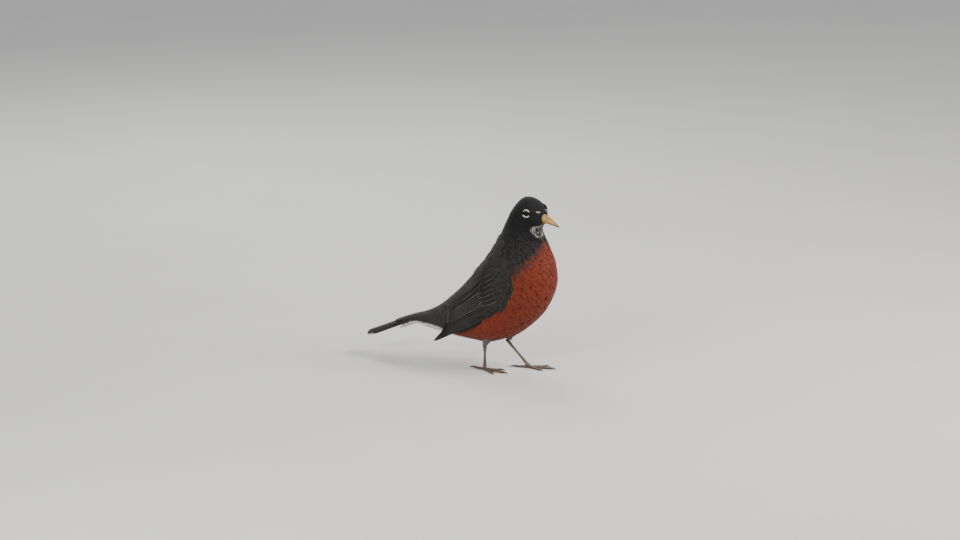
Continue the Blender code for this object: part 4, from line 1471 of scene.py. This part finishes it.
class ROBIN_OT_legs(bpy.types.Operator):
    """Bare shanks and scaled toes"""

    bl_idname = "robin.legs"
    bl_label = "Legs"

    def execute(self, context):
        for side in SIDES:
            sole = SOLES[f"sole_{side}"]
            joint = Vector((sole.x, sole.y, TOES_JOIN_AT))
            bm = copy_of(f"shank_{side}", f"foot_{side}")
            ankle = bmesh.ops.create_uvsphere(bm, u_segments=20, v_segments=14, radius=ANKLE_RADIUS)["verts"]
            bmesh.ops.translate(bm, verts=ankle, vec=Vector(THIGHS[side][1]) + Vector((FORWARD, 0, -0.4)))
            for toe in TOES:  # a knuckle closes the gap between each toe and its claw
                claw = copy_of(f"claw_{side}_{toe}")
                reach = [(v.co - joint).length for v in claw.verts]
                base = [v.co for v, r in zip(claw.verts, reach) if r < min(reach) + 0.7]
                middle = sum(base, Vector()) / len(base)
                radius = max((p - middle).length for p in base) * 0.9
                claw.free()
                ball = bmesh.ops.create_uvsphere(bm, u_segments=16, v_segments=12, radius=radius)["verts"]
                middle += (joint - middle).normalized() * 0.35
                middle.z = max(middle.z, radius)
                bmesh.ops.translate(bm, verts=ball, vec=middle)
            bm = fused(bm, LEG_VOXEL, 5)
            bm.normal_update()
            places, normals = (np.array(a) for a in zip(*((v.co, v.normal) for v in bm.verts)))
            reach, height, upward = np.linalg.norm(places - joint, axis=-1), places[:, 2], normals[:, 2]
            toe = smooth(3.0, 4.5, reach) * smooth(5.5, 4.0, height)
            shank = smooth(6.0, 8.0, height)
            ring = np.abs(np.sin(pi * np.where(toe > 0, reach / TOE_SCALE, height / SHANK_SCALE)))
            groove = (1 - smooth(0.0, 0.35, ring)) * np.maximum(toe, 0.35 * shank)
            groove = groove * smooth(-0.3, 0.3, upward + shank)
            mark_points(bm, all_marks(groove, smooth(-0.2, -0.7, upward), 0.0, 0.0))
            raised = SCALE_HEIGHT * (toe * (1 - groove) * smooth(-0.3, 0.3, upward) - groove)
            for v, place in zip(bm.verts, places + normals * raised[:, None]):
                v.co = place
                if v.co.z < 0.12:  # the soles stay flat
                    v.co.z = 0.0
            add_piece(f"leg_{side}", bm, leg_scales(), (f"shank_{side}", f"foot_{side}"))
        return {"FINISHED"}


class ROBIN_OT_claws(bpy.types.Operator):
    """Curved claws on the toes"""

    bl_idname = "robin.claws"
    bl_label = "Claws"

    def execute(self, context):
        for side in SIDES:
            nodes = [f"claw_{side}_{toe}" for toe in TOES]
            bm = with_modifiers(copy_of(*nodes), ("SUBSURF", {"levels": 2, "render_levels": 2}))
            add_piece(f"claws_{side}", bm, claw_gloss(), nodes)
        return {"FINISHED"}


# ---------------------------------------------------------------- stage

VIEW_AZIMUTH, VIEW_ELEVATION = 25.0, 13.0
VIEW_TARGET = (0.0, 0.0, 90.0)
VIEW_OFFSET = (14.0, 7.0)  # the target left of and below the picture's middle
VIEW_WIDTH = 960.0
VIEW_LENS = 200.0
SENSOR = 36.0
LIGHTS = (
    # name, direction as shares to the right, to the camera and up, how far out, the aim's x and z, size,
    # power as a share of the key light's, and tint
    ("key", (0.95, 0.35, 0.9), 1.1, 0.0, 0.08, 0.9, 1.0, (1.0, 0.97, 0.92)),
    ("fill", (-1.0, 0.9, 0.7), 1.2, 0.0, 0.08, 1.6, 0.25, (0.94, 0.97, 1.0)),
    ("catch", (-0.45, 1.0, 0.35), 1.1, 0.06, 0.16, 0.2, 0.25, (1.0, 0.99, 0.96)),
    ("rim", (-0.3, -1.0, 1.1), 1.1, 0.0, 0.1, 0.8, 0.4, (1.0, 1.0, 1.0)),
)


def soft_light(name, place, aim, size, power, tint):
    light = bpy.data.lights.new(name, "AREA")
    light.shape, light.size, light.energy, light.color = "DISK", size, power, tint
    obj = bpy.data.objects.new(name, light)
    obj.location = place
    obj.rotation_euler = (Vector(aim) - Vector(place)).to_track_quat("-Z", "Y").to_euler()
    bpy.context.scene.collection.objects.link(obj)


class ROBIN_OT_stage(bpy.types.Operator):
    """Pale floor, soft lights and the camera"""

    bl_idname = "robin.stage"
    bl_label = "Stage"

    def execute(self, context):
        bm = bmesh.new()
        bmesh.ops.create_grid(bm, x_segments=1, y_segments=1, size=30.0)
        mesh = bpy.data.meshes.new("floor")
        bm.to_mesh(mesh)
        bm.free()
        mesh.materials.append(studio_floor())
        floor = bpy.data.objects.new("floor", mesh)
        context.scene.collection.objects.link(floor)

        azimuth, elevation = radians(VIEW_AZIMUTH), radians(VIEW_ELEVATION)
        back = Vector((sin(azimuth) * cos(elevation), -cos(azimuth) * cos(elevation), sin(elevation)))
        right = Vector((cos(azimuth), sin(azimuth), 0.0))
        up = back.cross(right)
        camera = bpy.data.cameras.new("camera")
        camera.lens, camera.sensor_width = VIEW_LENS, SENSOR
        distance = VIEW_WIDTH * VIEW_LENS / SENSOR
        camera.clip_start, camera.clip_end = 0.1, 100.0
        eye = bpy.data.objects.new("camera", camera)
        aim = Vector(VIEW_TARGET) + right * VIEW_OFFSET[0] + up * VIEW_OFFSET[1]
        eye.location = (aim + back * distance) * MM
        eye.rotation_euler = back.to_track_quat("Z", "Y").to_euler()
        context.scene.collection.objects.link(eye)
        context.scene.camera = eye

        for name, towards, reach, aim_x, aim_z, size, power, tint in LIGHTS:
            place = (right * towards[0] + back * towards[1] + Vector((0.0, 0.0, towards[2]))) * reach
            soft_light(name, place, (aim_x, 0.0, aim_z), size, power * context.scene.robin.key_power, tint)
        world = bpy.data.worlds.new("studio")
        world.use_nodes = True
        sky = world.node_tree.nodes["Background"]
        sky.inputs["Color"].default_value = (0.80, 0.82, 0.85, 1.0)
        sky.inputs["Strength"].default_value = 0.75
        context.scene.world = world
        return {"FINISHED"}


class ROBIN_PT_panel(bpy.types.Panel):
    """Lists the robin's colours, sizes and pieces"""

    bl_label = "American Robin"
    bl_idname = "ROBIN_PT_panel"
    bl_space_type = "VIEW_3D"
    bl_region_type = "UI"
    bl_category = "Robin"

    def draw(self, context):
        for name in RobinSettings.__annotations__:
            self.layout.prop(context.scene.robin, name)
        for operator in OPERATORS:
            self.layout.operator(operator.bl_idname)


OPERATORS = (
    ROBIN_OT_skin,
    ROBIN_OT_eyes,
    ROBIN_OT_bill,
    ROBIN_OT_body_feathers,
    ROBIN_OT_eye_rings,
    ROBIN_OT_thigh_feathers,
    ROBIN_OT_wings,
    ROBIN_OT_tail,
    ROBIN_OT_legs,
    ROBIN_OT_claws,
    ROBIN_OT_stage,
)
CLASSES = (RobinSettings, *OPERATORS, ROBIN_PT_panel)


def register():
    for cls in CLASSES:
        bpy.utils.register_class(cls)
    bpy.types.Scene.robin = bpy.props.PointerProperty(type=RobinSettings)


def unregister():
    del bpy.types.Scene.robin
    for cls in reversed(CLASSES):
        bpy.utils.unregister_class(cls)


def main():
    register()
    for operator in OPERATORS:
        getattr(bpy.ops.robin, operator.bl_idname.split(".")[1])()


if __name__ == "__main__":
    main()
